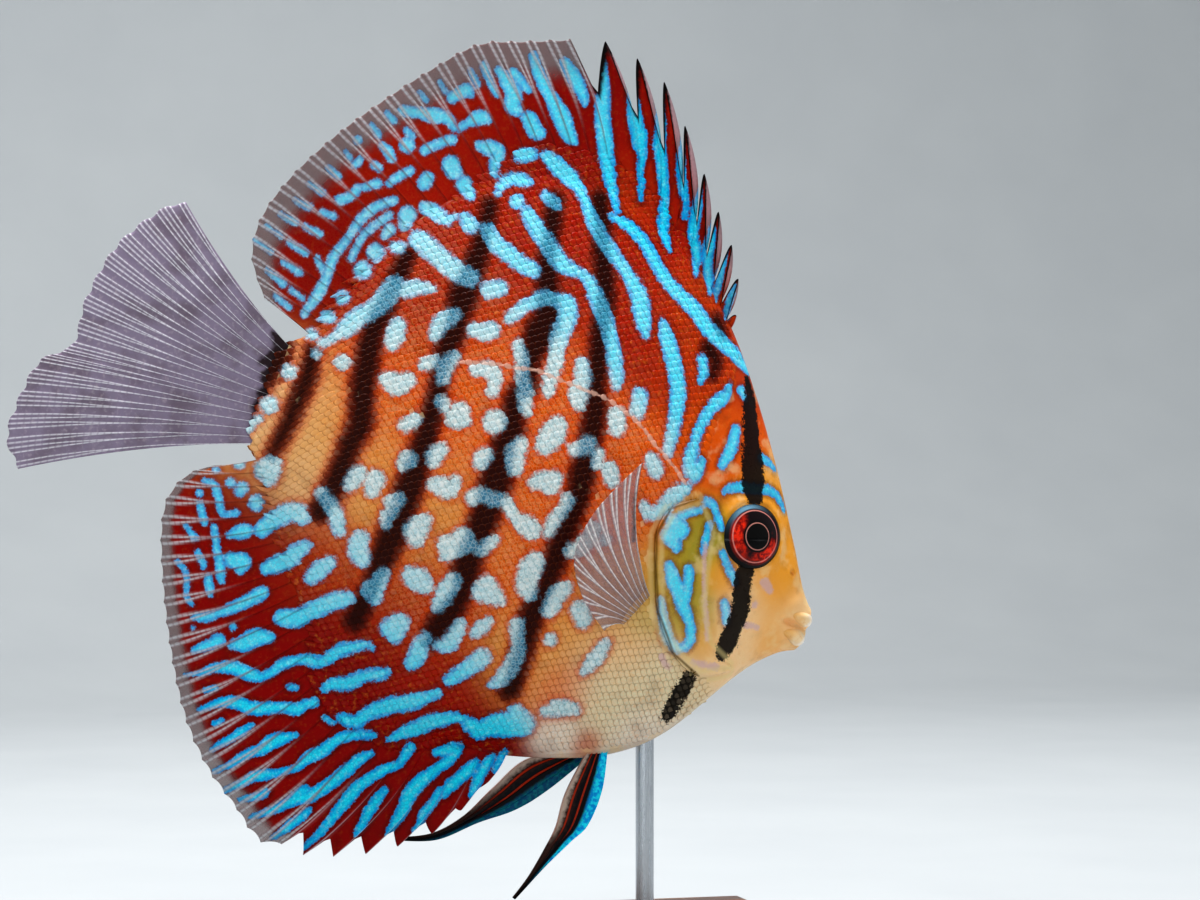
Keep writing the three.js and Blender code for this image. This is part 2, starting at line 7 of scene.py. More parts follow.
# %% Load the fixed frame
import math

import bpy
import numpy as np
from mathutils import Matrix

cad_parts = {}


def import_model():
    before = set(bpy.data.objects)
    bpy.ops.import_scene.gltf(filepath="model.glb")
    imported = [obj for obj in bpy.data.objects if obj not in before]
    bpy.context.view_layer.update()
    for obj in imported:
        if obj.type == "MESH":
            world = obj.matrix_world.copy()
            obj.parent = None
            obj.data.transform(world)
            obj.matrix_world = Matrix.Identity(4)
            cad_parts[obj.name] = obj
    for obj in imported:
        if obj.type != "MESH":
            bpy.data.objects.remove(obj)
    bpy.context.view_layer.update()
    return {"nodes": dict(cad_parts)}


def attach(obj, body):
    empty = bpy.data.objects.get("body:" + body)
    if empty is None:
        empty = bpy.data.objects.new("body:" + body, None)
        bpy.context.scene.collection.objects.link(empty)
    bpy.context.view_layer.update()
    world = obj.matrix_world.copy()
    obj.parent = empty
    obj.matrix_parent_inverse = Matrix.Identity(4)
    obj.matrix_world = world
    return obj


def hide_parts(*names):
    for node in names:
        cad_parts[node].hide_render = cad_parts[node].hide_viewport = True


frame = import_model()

print("nodes to dress:", len(frame["nodes"]))

# %% [markdown]
# ## The camera and the fish's own frame
# The fish hangs 21 degrees nose down and turns a little away from us. Its own frame has `s` running
# back from the snout, `z` up its height and `y` to its left. One function goes from that frame to
# Blender's, and a second goes from a place in the 1200 x 900 picture to the fish's right side, so
# that a marking seen in the picture can be put where it lies on the skin.

# %% Camera
MM = 0.001
IMAGE = (1200, 900)
LENS, SENSOR = 100.0, 36.0
FOCAL = IMAGE[0] * LENS / SENSOR
CAMERA_AT = np.array([-149.1, -705.1, 114.0])
CAMERA_TURN = math.radians(-15)

camera_data = bpy.data.cameras.new("camera")
camera_data.lens = LENS
camera_data.sensor_width = SENSOR
camera_data.clip_start = 0.01
camera = bpy.data.objects.new("camera", camera_data)
camera.location = CAMERA_AT * MM
camera.rotation_euler = (math.pi / 2, 0, CAMERA_TURN)
bpy.context.collection.objects.link(camera)
bpy.context.scene.camera = camera
print("camera at", camera.location)

# %% Fish frame to Blender
PITCH = math.radians(21)
SNOUT = (88.75, 77.9)


def world(s, y, z):
    x = SNOUT[0] - s * math.cos(PITCH) + z * math.sin(PITCH)
    up = SNOUT[1] + s * math.sin(PITCH) + z * math.cos(PITCH)
    return np.stack(np.broadcast_arrays(x, y, up), axis=-1) * MM


print("tip of the snout, m:", world(0, 0, 0))

# %% Curves of the body


def through(points):
    """A smooth curve through (along, value) points, as a function."""
    at, value = np.array(points, float).T

    def curve(x):
        x = np.asarray(x, float)
        i = np.clip(np.searchsorted(at, x, side="right") - 1, 0, len(at) - 2)
        before, after = np.maximum(i - 1, 0), np.minimum(i + 2, len(at) - 1)
        span = at[i + 1] - at[i]
        t = np.clip((x - at[i]) / span, 0, 1)
        slope_a = span * (value[i + 1] - value[before]) / (at[i + 1] - at[before])
        slope_b = span * (value[after] - value[i]) / (at[after] - at[i])
        rise = value[i + 1] - value[i]
        curl = slope_a + slope_b - 2 * rise
        return value[i] + t * (slope_a + t * (3 * rise - 2 * slope_a - slope_b + t * curl))

    return curve


BODY_START, BODY_END = 1.2, 131.0
back = through([(0, -0.6), (4.4, 4.2), (9.7, 12.3), (22.1, 30.2), (36.4, 47.6), (46, 56.6), (58, 64.6),
                (76, 69.6), (92.5, 66.7), (104, 59.8), (114, 48.2), (121, 33.8), (126, 19), (131, 11.9)])
belly = through([(0, -8.6), (5, -11.2), (11.2, -17.8), (22.9, -35.5), (32.1, -43.4), (43.4, -48.9),
                 (56, -53.2), (72, -55), (86, -53.4), (98, -48), (109, -37.8), (119, -25.6),
                 (126, -15.8), (131, -10)])
half_width = through([(0, 3), (5, 4.8), (10, 6.9), (20, 9.5), (30, 11), (43, 11.9), (56, 11.8), (70, 11),
                      (86, 9.3), (102, 7), (116, 4.6), (125, 3), (131, 2.1)])
back_edge = through([(0, 0.6), (40, 1.1), (131, 0.9)])
belly_edge = through([(0, 0.6), (12, 1.6), (26, 3), (38, 3), (54, 1.2), (131, 0.9)])
keel = through([(0, 0.5), (20, 0.56), (45, 0.72), (80, 0.8), (131, 0.62)])


def flank_at(s, t):
    """Half thickness of the body; t runs from -1 at the belly to 1 at the back."""
    edge = np.where(t > 0, back_edge(s), belly_edge(s))
    return edge + (half_width(s) - edge) * np.maximum(1 - t * t, 0) ** keel(s)


def height_at(s, t):
    return belly(s) + (back(s) - belly(s)) * (t + 1) / 2


def flank(s, z):
    top, low = back(s), belly(s)
    return flank_at(s, np.clip((2 * z - top - low) / (top - low), -1, 1))


print("thickest, mm:", round(2 * float(half_width(np.arange(131)).max()), 1))

# %% Picture to fish frame
FIRST_GUESS, GUESSES = -5.0, 6


def on_side(u, v):
    """The place (s, z) on the right side of the fish that shows at picture position u, v."""
    right = np.array([math.cos(CAMERA_TURN), math.sin(CAMERA_TURN), 0])
    ahead = np.array([-math.sin(CAMERA_TURN), math.cos(CAMERA_TURN), 0])
    across = (np.asarray(u, float) - IMAGE[0] / 2) / FOCAL
    up = (IMAGE[1] / 2 - np.asarray(v, float)) / FOCAL
    y = np.full_like(across, FIRST_GUESS)
    for _ in range(GUESSES):
        reach = (y - CAMERA_AT[1]) / (ahead[1] + right[1] * across)
        dx = CAMERA_AT[0] + reach * (ahead[0] + right[0] * across) - SNOUT[0]
        dz = CAMERA_AT[2] + reach * up - SNOUT[1]
        s = -dx * math.cos(PITCH) + dz * math.sin(PITCH)
        z = dx * math.sin(PITCH) + dz * math.cos(PITCH)
        y = -flank(s, z)
    return s, z


print("eye in the fish frame (s, z):", [round(float(c), 1) for c in on_side(755, 540)])

# %% [markdown]
# ## Markings as strokes
# A turquoise discus is drawn all over with blue worms and spots over a red ground, with dark bars
# across it. A picture wrapped on the skin would smear on the far side and at the edges, so each
# marking is a brush stroke instead: places along its middle, with a half width at each. They are
# written in picture positions, because that is where a marking is seen, and land on the skin
# through `on_side`. Both sides of the fish then get the same strokes. Commas part the places of a
# stroke, and semicolons part the strokes.

# %% Blue strokes of the dorsal fin and the back


def strokes(text):
    """Strokes as lists of (u, v, half width)."""
    return [[tuple(map(float, place.split())) for place in stroke.split(",")] for stroke in text.split(";")]


DORSAL_BLADES = strokes("""
    566 62 6, 576 78 8, 584 95 6, 586 104 3; 602 62 4, 604 90 7, 603 115 8, 606 140 9, 608 165 8, 612 190 6,
    617 210 4; 643 130 5, 643 150 5, 641 170 4, 640 200 3; 631 75 3, 633 100 6, 636 120 8, 640 145 7,
    645 158 4; 660 100 4, 661 120 6, 660 145 7, 662 165 6, 665 190 6, 663 215 6, 664 235 6, 669 250 3;
    683 138 3, 681 160 5, 683 185 5, 687 205 4, 685 218 3; 701 188 3, 697 210 6, 694 235 6, 697 255 7,
    696 275 3; 713 222 3, 711 240 6, 708 260 6, 710 285 5, 709 295 2; 727 252 3, 722 268 4, 718 290 4,
    716 300 2; 735 285 2, 730 300 4, 726 318 3""")
LONG_STRIPES = strokes("""
    611 216 4, 622 222 6, 632 229 7, 645 244 7, 655 262 7, 667 281 8, 680 296 8, 695 310 9, 705 325 9,
    717 338 9, 730 350 8, 741 362 7, 748 372 4; 549 157 7, 560 168 10, 572 180 9, 583 196 6, 590 215 7,
    600 235 8, 610 250 8, 622 266 7, 633 283 8, 640 300 10, 643 320 9, 646 335 5; 527 213 7, 538 230 9,
    550 248 9, 562 264 9, 577 272 6, 588 280 6, 594 292 8, 601 308 9, 607 325 8, 612 343 8, 615 362 8,
    617 378 7, 616 388 4; 663 322 4, 666 335 8, 672 355 9, 676 375 9, 678 395 9, 676 415 8, 672 435 7,
    668 452 5; 730 385 3, 724 397 7, 714 405 7, 705 418 6, 698 432 6, 694 445 6, 690 460 8, 694 475 8,
    702 462 5; 688 487 4, 680 492 8, 670 500 8, 663 508 7, 652 515 6; 702 360 6, 704 370 6, 701 382 4""")
SOFT_DORSAL = strokes("""
    535 55 5, 541 75 7, 551 95 7, 562 115 10, 570 135 8, 577 142 3; 484 65 5, 492 85 4, 497 95 3; 500 70 5,
    508 82 8, 515 95 9, 512 105 8, 518 110 6; 515 72 6, 530 90 4; 530 118 8, 536 130 9, 543 133 5; 520 157 6,
    528 155 8, 537 155 5; 545 195 5, 553 202 7, 558 207 4; 500 188 5, 510 180 6, 522 180 7, 530 183 4;
    517 202 8; 480 145 5, 490 148 8, 500 150 6, 496 165 7, 496 175 4; 460 128 4, 470 122 5, 480 117 8,
    487 120 5; 452 98 6, 466 90 7, 472 95 3; 405 110 6, 420 112 6, 435 115 8, 448 118 6, 455 128 4; 425 150 5,
    440 143 5, 453 139 5; 408 145 8; 410 172 4, 402 174 4; 452 165 10, 455 172 8; 425 183 7, 428 178 7;
    465 185 9, 470 195 6; 408 215 9, 405 225 6; 425 207 6, 435 212 8, 445 220 6, 455 217 3; 470 225 9,
    465 218 6; 497 193 4; 375 165 5, 380 168 4; 358 140 5; 355 165 4, 360 160 4; 388 150 6, 392 158 5,
    383 145 4; 408 130 4, 413 135 4; 365 187 4, 378 183 5; 390 183 4, 400 176 5, 412 170 4; 340 200 5,
    352 195 5, 358 188 4; 395 200 4, 385 203 5, 372 210 5, 362 218 5, 352 232 4, 345 243 4, 337 252 5,
    331 265 5, 326 280 5, 318 295 6, 310 306 4, 305 314 4; 390 215 4, 380 222 4, 372 228 4, 362 238 4,
    352 258 4; 376 252 9; 363 270 9; 343 297 7; 328 316 7; 312 334 6; 390 230 6, 385 236 4; 398 247 7;
    470 70 3, 477 84 4; 440 82 3, 446 92 3; 421 92 3, 427 100 3; 388 112 3, 395 120 4; 372 124 3, 379 134 4;
    345 152 3, 350 158 3; 328 168 3, 338 176 4; 310 184 3, 322 192 4; 296 200 3, 310 207 4; 322 212 3,
    334 216 4; 282 214 3, 296 222 4; 305 226 3, 320 234 4; 268 226 3, 282 236 3; 290 242 3, 306 252 4;
    256 240 3, 272 252 3; 284 262 3, 300 272 4; 268 270 3, 284 284 4; 292 290 3, 303 298 3; 276 296 3,
    290 308 3; 318 258 3, 322 268 4""")
print("strokes on the back:", len(DORSAL_BLADES) + len(LONG_STRIPES) + len(SOFT_DORSAL))

# %% Blue strokes of the flank
UPPER_FLANK = strokes("""
    488 230 7, 497 245 9, 510 255 9, 522 265 9, 533 270 8; 420 240 10, 437 255 10, 455 270 10, 470 278 9;
    322 343 4, 335 336 4, 350 325 9, 362 315 9, 375 308 9, 388 295 10, 395 285 9; 405 290 8, 418 287 7,
    432 289 4; 317 353 4; 343 362 7; 290 372 7; 270 405 8; 250 425 6, 245 430 4, 260 418 3; 258 385 3;
    395 335 9, 398 325 7, 392 345 6; 388 380 8, 398 385 10, 408 380 7; 415 420 6, 405 425 6; 490 290 9,
    500 288 8; 475 330 7, 485 332 9, 492 330 8; 455 315 6, 448 318 8, 440 325 8, 435 335 6; 510 318 6,
    520 310 6, 532 303 7, 545 298 8, 556 300 7, 567 305 10, 567 320 10, 560 335 9, 557 350 8, 555 365 7,
    550 380 6, 548 392 5; 582 365 7, 583 380 8, 578 395 9, 580 405 5; 475 370 5, 490 370 8, 495 380 6,
    492 392 5; 518 345 5, 522 360 6, 522 375 6, 525 390 7, 525 405 6, 528 412 4; 455 355 4, 447 365 7,
    443 378 6; 442 402 6, 445 408 5; 460 412 9, 455 420 8, 465 420 6; 495 422 11; 558 425 8, 553 435 12,
    545 445 9; 617 415 8, 617 428 8; 575 450 6, 588 445 8; 425 365 6, 435 360 5; 640 395 8, 638 410 8""")
MID_FLANK = strokes("""
    408 460 8, 403 465 6; 435 455 8, 442 450 6, 433 462 5; 483 458 8, 487 455 6, 480 463 6; 520 445 7,
    515 455 9, 515 468 7; 598 455 6, 597 465 5; 610 470 8, 612 480 7; 652 460 7, 656 470 8; 645 507 5,
    648 515 6; 435 485 7, 443 487 9, 450 492 6, 455 482 6; 473 498 7, 483 494 6, 490 500 5, 500 500 6,
    508 505 6, 515 518 5, 525 525 9, 532 530 9; 535 483 6, 543 480 8, 550 485 9, 555 478 7; 568 500 6,
    565 508 5, 558 515 6, 552 525 6, 548 533 5; 595 530 7, 588 540 8, 580 548 7, 570 551 6; 605 540 6;
    355 478 8, 350 485 6, 360 472 6; 375 480 9, 372 490 7; 322 492 5, 328 502 6, 335 512 7, 338 525 7,
    340 532 5; 392 502 7, 400 500 5, 388 515 6, 386 525 4; 412 530 8, 420 525 9, 416 540 7, 425 520 6;
    447 545 9, 455 540 6, 463 535 7, 468 545 6, 446 555 6; 480 550 5, 488 545 6, 495 540 4; 360 540 9,
    358 550 10, 362 560 8; 370 590 8, 378 583 8, 383 575 6, 375 600 6; 410 575 8, 418 580 11, 425 585 8;
    453 582 8, 447 590 9, 442 600 8, 437 606 6; 487 585 9, 480 592 8, 492 595 9, 500 600 5; 535 562 9,
    530 570 11, 527 585 10, 530 595 6; 565 588 7, 557 595 8, 552 605 8, 548 612 6; 580 610 9, 583 620 8;
    605 645 5, 598 655 7, 590 665 6, 583 672 3; 545 712 5, 560 708 8, 575 710 5; 390 628 10, 400 622 9,
    395 635 9; 482 627 7, 475 633 5, 488 622 5; 550 640 6; 425 638 6, 420 645 8, 418 655 9, 412 663 8;
    438 645 5, 448 645 8, 455 635 8, 460 625 6; 450 680 7, 462 672 8, 473 665 9, 482 658 9; 517 625 7,
    518 640 6, 517 655 7, 512 665 8, 505 675 8, 498 682 6, 490 685 3; 470 725 8, 480 730 10, 495 725 12,
    510 725 14, 525 725 10, 515 712 8""")
REAR_FLANK = strokes("""
    265 470 10, 272 465 9, 270 478 7; 262 530 8, 272 522 9, 283 515 9, 295 512 10, 303 518 7; 267 568 7,
    278 564 9, 288 560 9, 297 552 8, 306 546 6; 312 578 7, 320 570 9, 330 562 6; 283 618 9, 298 618 10,
    310 612 9, 325 605 9, 340 600 9, 350 598 6; 195 617 4, 205 617 5, 220 613 5, 235 607 6, 250 600 7,
    263 593 7; 233 627 4; 233 645 5, 245 643 9, 258 637 9, 270 638 6; 195 650 4, 208 645 6, 220 640 6;
    230 535 4, 243 532 8, 248 530 6; 232 560 8, 243 562 9, 240 570 5; 257 503 8; 243 488 6, 240 492 5;
    231 483 5; 242 456 5, 240 464 5; 205 481 3, 215 485 4, 217 492 4, 220 500 4, 221 510 4, 226 515 3,
    236 513 4; 215 528 4, 216 540 4, 217 548 4, 220 560 5, 221 570 5, 222 580 4; 198 553 4, 202 560 4,
    204 566 4; 208 577 4, 209 585 5, 211 595 3; 217 470 3; 200 493 4; 200 504 4, 205 522 4; 186 526 3,
    195 538 4; 177 562 3, 185 571 3, 187 584 3, 186 595 3, 191 604 3; 193 628 3; 215 637 4""")
print("strokes on the flank:", len(UPPER_FLANK) + len(MID_FLANK) + len(REAR_FLANK))

# %% Blue strokes of the anal fin and the head
ANAL_STRIPES = strokes("""
    185 675 2, 200 673 3, 215 668 5, 230 667 7, 240 670 7, 252 675 7, 262 677 5, 272 672 5, 282 665 6,
    290 662 6, 300 660 5, 310 660 7, 320 664 6, 330 657 7, 342 650 7, 355 647 6, 365 645 5, 372 648 3;
    290 687 4, 298 688 3; 205 690 3, 215 688 3; 200 710 3, 212 705 4, 225 702 6, 238 703 7, 250 708 7,
    262 709 7, 275 708 6, 288 708 6, 297 710 7, 305 705 5, 314 703 6; 327 690 4, 335 685 7, 350 683 8,
    362 677 7, 375 675 7, 385 673 6; 325 718 3, 333 722 4; 345 720 6, 358 722 7, 370 713 8, 385 707 9,
    400 704 9, 412 702 9, 425 698 7, 437 693 6; 375 736 4, 360 735 5, 345 737 6, 335 742 6, 322 752 7,
    310 757 7, 300 765 5, 290 770 4, 278 773 4, 265 775 6, 255 776 6, 245 782 5, 232 788 4, 220 793 3;
    297 735 3, 285 738 6, 270 743 8, 260 750 6, 245 755 5, 230 765 4, 215 772 3; 252 725 3, 240 733 5,
    225 742 4, 212 750 3; 222 720 3, 215 724 3; 371 754 4, 360 760 6, 350 768 7, 338 778 7, 325 788 7,
    310 796 7, 295 800 6, 280 807 5, 265 813 4, 252 817 3; 305 790 5, 295 795 5; 265 793 5, 255 797 4,
    240 800 3; 310 810 3, 300 818 5, 290 825 5, 280 833 4, 272 838 3; 410 748 6, 400 763 5, 385 770 6,
    370 779 6, 358 788 7, 348 800 7, 338 812 6, 326 826 5, 314 838 4, 303 848 3; 390 740 4, 405 733 7,
    418 728 9, 430 722 9, 442 720 8, 455 718 6, 465 720 5; 437 753 5, 447 750 7, 458 748 6; 458 752 5,
    450 760 6, 440 767 6, 430 775 7, 420 783 8, 410 795 8, 405 808 7, 398 820 6, 392 830 4, 388 836 2;
    386 790 4, 378 800 6, 370 812 6, 363 825 5, 357 835 3; 477 762 4, 470 770 7, 460 778 7, 450 787 7,
    445 795 4; 440 790 4, 432 805 5, 425 812 5, 420 825 4, 415 832 3; 493 757 4, 487 765 6, 480 778 6,
    475 788 5, 471 796 3; 505 752 4, 500 762 4, 496 772 3""")
HEAD_BLUE = strokes("""
    741 390 5, 745 398 4; 736 430 6, 732 445 7, 728 455 7, 722 465 5; 762 458 5, 768 462 4, 775 470 3;
    724 492 3, 732 488 5, 742 487 6, 752 489 6, 762 489 6, 772 492 5, 780 500 4, 784 510 3; 700 510 4,
    690 512 4, 680 516 5; 672 522 8, 680 530 9, 668 535 9, 675 545 6, 675 551 3; 668 565 5, 672 580 8,
    678 592 8, 682 605 8, 688 620 6, 690 635 6, 686 645 5, 678 648 5, 670 642 5, 665 630 5, 662 615 4,
    660 600 3; 688 570 6, 687 585 6, 684 600 6; 705 500 4, 712 505 5, 717 515 4, 721 528 4; 709 525 4,
    706 540 5, 702 552 3; 722 553 4, 727 565 4, 732 575 5, 735 583 4; 724 602 4, 726 612 5, 726 622 4""")
HEAD_PALE = strokes("""
    692 662 3, 703 665 4, 715 667 4; 745 625 4, 757 627 3; 755 605 4; 765 583 6, 770 590 5; 662 658 4,
    668 668 3; 705 545 3, 704 580 3, 707 640 3""")
print("strokes on the anal fin and the head:", len(ANAL_STRIPES) + len(HEAD_BLUE) + len(HEAD_PALE))

# %% Dark bars and the lateral line
DARK_BARS = strokes("""
    747 380 3, 750 392 5, 750 410 8, 751 430 9, 752 450 10, 753 470 12, 754 485 12, 754 497 9; 745 570 9,
    742 585 9, 741 600 9, 739 615 9, 734 628 9, 727 642 10, 722 653 7; 688 678 7, 678 697 8, 668 715 7""")
SOFT_BARS = strokes("""
    717 322 6, 722 335 5; 708 348 6, 716 362 5, 712 375 4; 600 200 8, 603 260 8, 605 300 8, 600 340 8,
    598 365 8, 596 390 8, 595 415 9, 590 440 9, 583 470 10, 580 485 10, 578 500 8, 570 520 9, 562 540 9,
    555 560 9, 548 580 8, 540 600 9, 530 620 10, 525 640 9, 510 690 8; 555 200 7, 548 260 8, 548 315 12,
    540 335 14, 530 360 8, 526 385 9, 515 400 8, 512 430 9, 505 445 10, 500 465 12, 495 485 13, 487 510 12,
    480 530 11, 470 555 11, 465 575 11, 462 590 9, 450 610 11, 440 625 11, 430 640 8; 490 205 6, 480 250 8,
    465 290 12, 458 315 10, 452 335 10, 447 350 9, 440 375 7, 436 400 7, 430 420 8, 425 440 9, 418 460 10,
    412 480 11, 405 500 11, 398 520 11, 390 540 11, 382 560 10, 375 580 8, 365 600 8, 355 620 9; 408 255 6,
    385 305 9, 375 325 9, 370 345 9, 367 365 9, 363 385 9, 362 405 9, 360 425 9, 352 440 8, 345 460 8,
    338 478 9, 330 495 9, 320 512 8; 312 352 5, 308 375 6, 300 395 6, 290 420 5, 280 440 4, 272 456 3;
    286 345 5, 276 365 7, 262 385 6, 252 400 6, 245 415 5""")
LATERAL_LINE = strokes("""
    460 362 2, 480 363 2, 503 365 2, 515 368 2, 535 370 2, 550 376 2, 570 384 2, 590 392 2, 605 398 2,
    620 408 2, 640 425 2, 655 445 2, 670 462 2, 686 484 2""")
print("bars:", len(DARK_BARS) + len(SOFT_BARS))

# %% [markdown]
# ## From strokes to fields
# Painting happens once, on a fine grid over the side of the fish. A cell holds how far inside the
# nearest stroke it lies, in millimetres, and is negative outside. A mesh then reads the grid at its
# own corners and keeps the number as an attribute. A number that is a distance makes a crisp edge
# in the shader at any zoom, and noise added to it gives the edge its natural wobble.

# %% Paint the fields
CELL = 0.25
GRID_S = np.arange(-6, 186, CELL)
GRID_Z = np.arange(-96, 108, CELL)
PIXEL = 0.218
BRUSH_REACH = 4.0
STROKE_STEPS = 4


def smooth_stroke(stroke):
    """The stroke's s, z and half width at more places, on a curve through the given ones."""
    u, v, r = np.array(stroke, float).T
    s, z = on_side(u, v)
    rows = np.stack([s, z, r * PIXEL], axis=1)
    if len(rows) < 3:
        return rows
    places = np.arange(len(rows))
    fine = np.linspace(0, len(rows) - 1, STROKE_STEPS * (len(rows) - 1) + 1)
    return np.stack([through(list(zip(places, column)))(fine) for column in rows.T], axis=1)


def paint(*groups):
    field = np.full((len(GRID_S), len(GRID_Z)), -BRUSH_REACH)
    for stroke in (stroke for group in groups for stroke in group):
        rows = smooth_stroke(stroke)
        for a, b in zip(rows, rows[1:] if len(rows) > 1 else rows):
            reach = max(a[2], b[2]) + BRUSH_REACH
            i = np.searchsorted(GRID_S, [min(a[0], b[0]) - reach, max(a[0], b[0]) + reach])
            k = np.searchsorted(GRID_Z, [min(a[1], b[1]) - reach, max(a[1], b[1]) + reach])
            s, z = GRID_S[i[0]:i[1], None] - a[0], GRID_Z[None, k[0]:k[1]] - a[1]
            ds, dz = b[0] - a[0], b[1] - a[1]
            along = np.clip((s * ds + z * dz) / max(ds * ds + dz * dz, 1e-6), 0, 1)
            inside = a[2] + along * (b[2] - a[2]) - np.hypot(s - along * ds, z - along * dz)
            window = field[i[0]:i[1], k[0]:k[1]]
            np.maximum(window, inside, out=window)
    return field


def read_grid(grid, first, step, a, b):
    """A grid's value at places a, b, evenly mixed between its four nearest cells."""
    x = np.clip((a - first[0]) / step, 0, grid.shape[0] - 1.001)
    y = np.clip((b - first[1]) / step, 0, grid.shape[1] - 1.001)
    i, k = x.astype(int), y.astype(int)
    x, y = x - i, y - k
    low = grid[i, k] * (1 - x) + grid[i + 1, k] * x
    high = grid[i, k + 1] * (1 - x) + grid[i + 1, k + 1] * x
    return low * (1 - y) + high * y


FIELDS = {
    "blue": paint(DORSAL_BLADES, LONG_STRIPES, SOFT_DORSAL, UPPER_FLANK, MID_FLANK, REAR_FLANK, ANAL_STRIPES,
                  HEAD_BLUE),
    "lilac": paint(HEAD_PALE),
    "bar": paint(DARK_BARS),
    "soft_bar": paint(SOFT_BARS),
    "line": paint(LATERAL_LINE),
}


def field_at(name, s, z):
    return read_grid(FIELDS[name], (GRID_S[0], GRID_Z[0]), CELL, s, z)


print("painted cells inside blue strokes:", int((FIELDS["blue"] > 0).sum()))

# %% [markdown]
# ## Ground colours
# Under the strokes the ground goes from blood red on the fins, over orange and tan on the flank, to
# a cream breast and a golden face. A few named colours are placed as soft spots and melt into each
# other. Each spot also says how pale the blue is there: bright cyan on the fins, and grey-blue lace
# on the flank.

# %% Ground colour and paleness of the blue
def rgb(code):
    """A web colour as linear red, green and blue."""
    parts = np.array([int(code[i:i + 2], 16) for i in (0, 2, 4)]) / 255
    return np.where(parts <= 0.04045, parts / 12.92, ((parts + 0.055) / 1.055) ** 2.4)


BLOOD, BRICK, RUST = rgb("900200"), rgb("a81600"), rgb("c03a00")
ORANGE, TAN, SAND = rgb("e65c00"), rgb("e8a04e"), rgb("f6cc98")
CREAM, GOLD, OLIVE, FLESH = rgb("e8dcb8"), rgb("f4a430"), rgb("a89c2c"), rgb("fcd4a0")
WHITE, MOSS = rgb("f2ece0"), rgb("c0b878")
GROUND_SPOTS = [
    (430, 130, 90, BRICK, 0.3), (560, 110, 60, BLOOD, 0.15), (660, 180, 60, BRICK, 0.0),
    (630, 200, 30, RUST, 0.0), (700, 340, 50, RUST, 0.15), (560, 250, 60, BRICK, 0.3),
    (640, 330, 40, BRICK, 0.25), (430, 290, 60, BRICK, 0.7), (330, 250, 50, BLOOD, 0.35),
    (480, 420, 80, ORANGE, 1.0), (560, 440, 50, ORANGE, 1.0), (400, 400, 50, ORANGE, 1.0),
    (320, 440, 55, TAN, 1.0), (280, 410, 38, SAND, 0.8), (310, 480, 34, SAND, 0.9),
    (400, 500, 55, TAN, 1.0), (520, 540, 60, ORANGE, 1.0), (430, 600, 50, RUST, 0.8),
    (330, 560, 40, RUST, 0.6), (260, 560, 60, BLOOD, 0.15), (340, 660, 60, BLOOD, 0.1),
    (300, 760, 80, BLOOD, 0.0), (450, 770, 60, BLOOD, 0.0), (430, 690, 40, BRICK, 0.15),
    (530, 650, 40, TAN, 0.9), (600, 700, 40, CREAM, 0.9), (660, 680, 40, CREAM, 0.9),
    (620, 600, 45, TAN, 0.9), (560, 690, 24, ORANGE, 0.9), (586, 742, 12, RUST, 0.6),
    (620, 650, 26, SAND, 0.9), (640, 740, 30, WHITE, 0.9), (560, 735, 20, WHITE, 0.9),
    (640, 620, 16, MOSS, 0.6), (640, 500, 40, ORANGE, 0.8), (676, 590, 30, OLIVE, 0.05),
    (688, 535, 28, OLIVE, 0.05), (690, 620, 24, OLIVE, 0.05), (700, 640, 22, GOLD, 0.1),
    (740, 620, 32, FLESH, 0.5), (735, 655, 30, FLESH, 0.5), (775, 640, 24, GOLD, 0.5),
    (808, 605, 18, FLESH, 0.5), (790, 630, 20, FLESH, 0.5), (760, 500, 25, GOLD, 0.1),
    (720, 450, 30, ORANGE, 0.15), (785, 590, 30, GOLD, 0.4), (800, 620, 22, FLESH, 0.5),
    (720, 580, 16, GOLD, 0.2), (470, 520, 40, TAN, 1.0), (590, 480, 40, ORANGE, 1.0),
]
FAR_PULL = 1e-4


def ground_at(s, z):
    colour, pale, total = np.zeros(s.shape + (3,)), np.zeros(s.shape), np.full(s.shape, 1e-9)
    for u, v, radius, tone, paleness in GROUND_SPOTS:
        spot_s, spot_z = on_side(u, v)
        away = (s - spot_s) ** 2 + (z - spot_z) ** 2
        weight = np.exp(-away / (radius * PIXEL) ** 2) + FAR_PULL / (1 + away)
        colour += weight[..., None] * tone
        pale += weight * paleness
        total += weight
    return colour / total[..., None], pale / total


print("ground colour spots:", len(GROUND_SPOTS))
